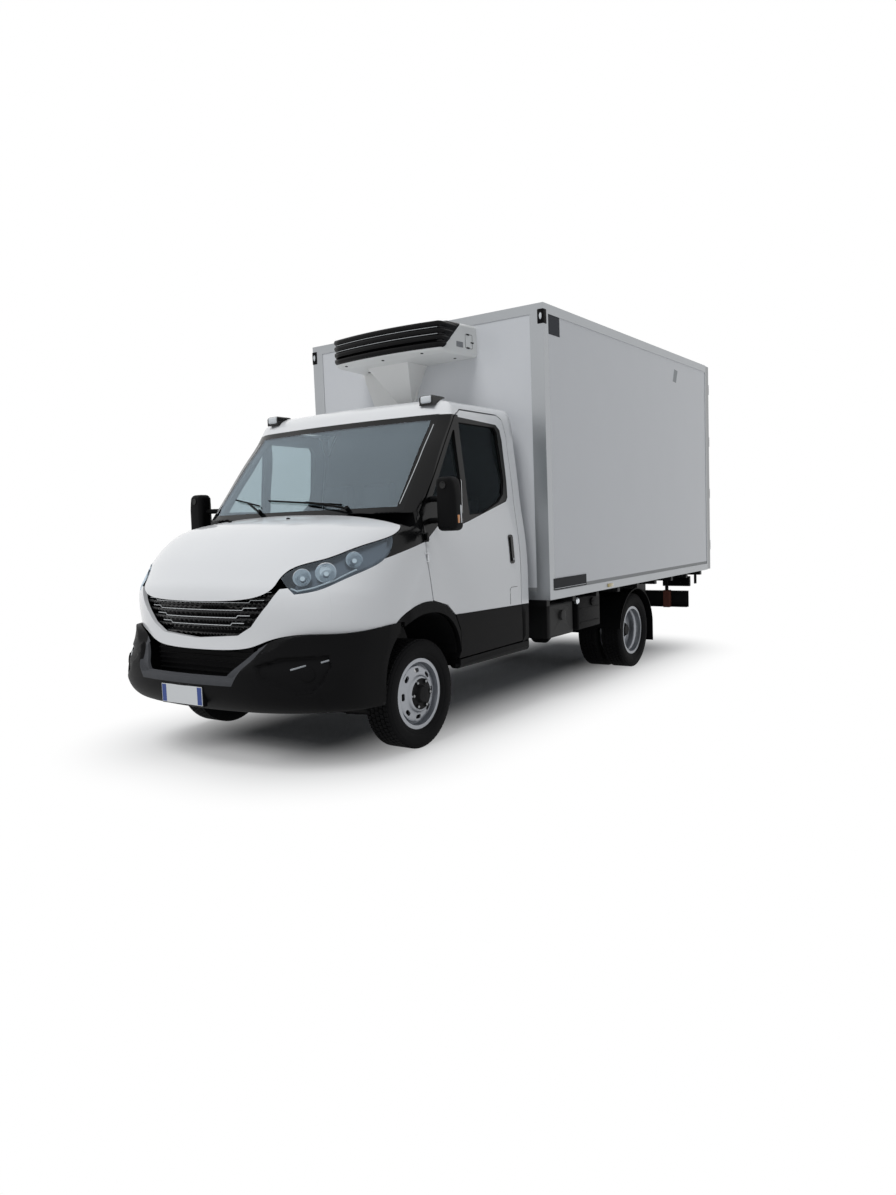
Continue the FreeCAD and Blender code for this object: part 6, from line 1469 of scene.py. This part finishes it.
class TruckLooks(bpy.types.PropertyGroup):
    """Colours of the truck."""
    paint: bpy.props.StringProperty(name="Paint", description="Cab paint as a hex code", default="#E8E9EA")
    panel: bpy.props.StringProperty(name="Panels", description="Box panels as a hex code", default="#D5D7DA")
    trim: bpy.props.StringProperty(name="Trim", description="Black plastic as a hex code", default="#0D0D0E")
    step: bpy.props.StringProperty(name="Step", description="Bumper step as a hex code", default="#4A4B4E")


class TruckStage(bpy.types.PropertyGroup):
    """Light of the studio."""
    sky: bpy.props.FloatProperty(name="Sky", description="Light from all round", default=0.37, min=0.0)
    key: bpy.props.FloatProperty(name="Key", description="Sun above the front", default=1.60, min=0.0)


# Steps

class TRUCK_OT_stage(bpy.types.Operator):
    """Sets the camera, the floor and the lights"""
    bl_idname = "truck.stage"
    bl_label = "Stage"

    def execute(self, context):
        set_camera()
        set_stage(context.scene.truck_stage)
        return {"FINISHED"}


class TRUCK_OT_finishes(bpy.types.Operator):
    """Makes the finishes and puts them on the CAD pieces"""
    bl_idname = "truck.finishes"
    bl_label = "Finishes"

    def execute(self, context):
        make_materials(context.scene.truck_looks)
        dress_nodes()
        return {"FINISHED"}


class TRUCK_OT_grille_lines(bpy.types.Operator):
    """Adds the painted highlights on the upper edges of the grille bars"""
    bl_idname = "truck.grille_lines"
    bl_label = "Grille"

    def execute(self, context):
        grille_highlights()
        return {"FINISHED"}


class TRUCK_OT_headlamps(bpy.types.Operator):
    """Opens the headlamps and fits bowls, strips and lenses"""
    bl_idname = "truck.headlamps"
    bl_label = "Headlamps"

    def execute(self, context):
        for side in SIDES:
            headlamp(side)
        return {"FINISHED"}


class TRUCK_OT_bumper_parts(bpy.types.Operator):
    """Adds the plate, the intake screen and the fog lamps"""
    bl_idname = "truck.bumper_parts"
    bl_label = "Bumper parts"

    def execute(self, context):
        number_plate()
        intake_screen()
        fog_lamps()
        return {"FINISHED"}


class TRUCK_OT_wipers(bpy.types.Operator):
    """Adds the wipers, washer jets and the painted reflections on the windscreen's side edges"""
    bl_idname = "truck.wipers"
    bl_label = "Wipers"

    def execute(self, context):
        wipers()
        screen_glints()
        return {"FINISHED"}


class TRUCK_OT_doors(bpy.types.Operator):
    """Adds handles, the flap's seam, window seals and the rear ends of the wheel arch liners"""
    bl_idname = "truck.doors"
    bl_label = "Door parts"

    def execute(self, context):
        door_handles()
        flap_seam()
        paired_boxes([LINER_FLAP], "liner_flap", "rubber", "chassis", 0.002, 1)
        window_seals()
        return {"FINISHED"}


class TRUCK_OT_mirrors(bpy.types.Operator):
    """Adds mirror heads with their arms, glasses and lamps"""
    bl_idname = "truck.mirrors"
    bl_label = "Mirrors"

    def execute(self, context):
        mirror_heads()
        mirror_parts()
        return {"FINISHED"}


class TRUCK_OT_roof_lamps(bpy.types.Operator):
    """Adds the lenses of the roof lamps"""
    bl_idname = "truck.roof_lamps"
    bl_label = "Roof lamps"

    def execute(self, context):
        paired_boxes([ROOF_LENS], "roof_lamp_lens", "lamp_white", "chassis", 0.012, 3)
        return {"FINISHED"}


class TRUCK_OT_wheels(bpy.types.Operator):
    """Fits tyres with tread and the wheel nuts"""
    bl_idname = "truck.wheels"
    bl_label = "Wheels"

    def execute(self, context):
        tyres()
        wheel_nuts()
        return {"FINISHED"}


class TRUCK_OT_cooling_unit(bpy.types.Operator):
    """Adds the slats, screws, hatches and vents of the cooling unit and the duct's plate"""
    bl_idname = "truck.cooling_unit"
    bl_label = "Cooling unit"

    def execute(self, context):
        louvre_wrap()
        unit_details()
        duct_plate()
        return {"FINISHED"}


class TRUCK_OT_box_parts(bpy.types.Operator):
    """Adds corner caps, plates and side markers"""
    bl_idname = "truck.box_parts"
    bl_label = "Box parts"

    def execute(self, context):
        corner_caps()
        side_patches()
        return {"FINISHED"}


class TRUCK_OT_rear_parts(bpy.types.Operator):
    """Adds seals, tail lenses, straps, hangers, brackets and the equipment box with its lamp"""
    bl_idname = "truck.rear_parts"
    bl_label = "Rear parts"

    def execute(self, context):
        door_seals()
        tail_lamps()
        under_box()
        equipment_box()
        return {"FINISHED"}


class TRUCK_OT_inside(bpy.types.Operator):
    """Adds the parts of the dashboard"""
    bl_idname = "truck.inside"
    bl_label = "Inside"

    def execute(self, context):
        dash_details()
        return {"FINISHED"}


OPERATORS = (TRUCK_OT_stage, TRUCK_OT_finishes,
             TRUCK_OT_grille_lines, TRUCK_OT_headlamps, TRUCK_OT_bumper_parts, TRUCK_OT_wipers,
             TRUCK_OT_doors, TRUCK_OT_mirrors, TRUCK_OT_roof_lamps, TRUCK_OT_wheels,
             TRUCK_OT_cooling_unit, TRUCK_OT_box_parts, TRUCK_OT_rear_parts, TRUCK_OT_inside)


class TRUCK_PT_panel(bpy.types.Panel):
    """Lists the steps that build the truck's looks"""
    bl_idname = "TRUCK_PT_panel"
    bl_label = "Refrigerated truck"
    bl_space_type = "VIEW_3D"
    bl_region_type = "UI"
    bl_category = "Truck"

    def draw(self, context):
        for group in (context.scene.truck_looks, context.scene.truck_stage):
            for name in group.__annotations__:
                self.layout.prop(group, name)
        for operator in OPERATORS:
            self.layout.operator(operator.bl_idname)


CLASSES = (TruckLooks, TruckStage) + OPERATORS + (TRUCK_PT_panel,)


def register():
    """Registers the classes and the settings."""
    for cls in CLASSES:
        bpy.utils.register_class(cls)
    bpy.types.Scene.truck_looks = bpy.props.PointerProperty(type=TruckLooks)
    bpy.types.Scene.truck_stage = bpy.props.PointerProperty(type=TruckStage)


def unregister():
    """Takes the settings and the classes away again."""
    del bpy.types.Scene.truck_stage
    del bpy.types.Scene.truck_looks
    for cls in reversed(CLASSES):
        bpy.utils.unregister_class(cls)


def main():
    """Builds everything in order."""
    register()
    for operator in OPERATORS:
        group, name = operator.bl_idname.split(".")
        getattr(getattr(bpy.ops, group), name)()
    bpy.context.view_layer.update()


if __name__ == "__main__":
    main()
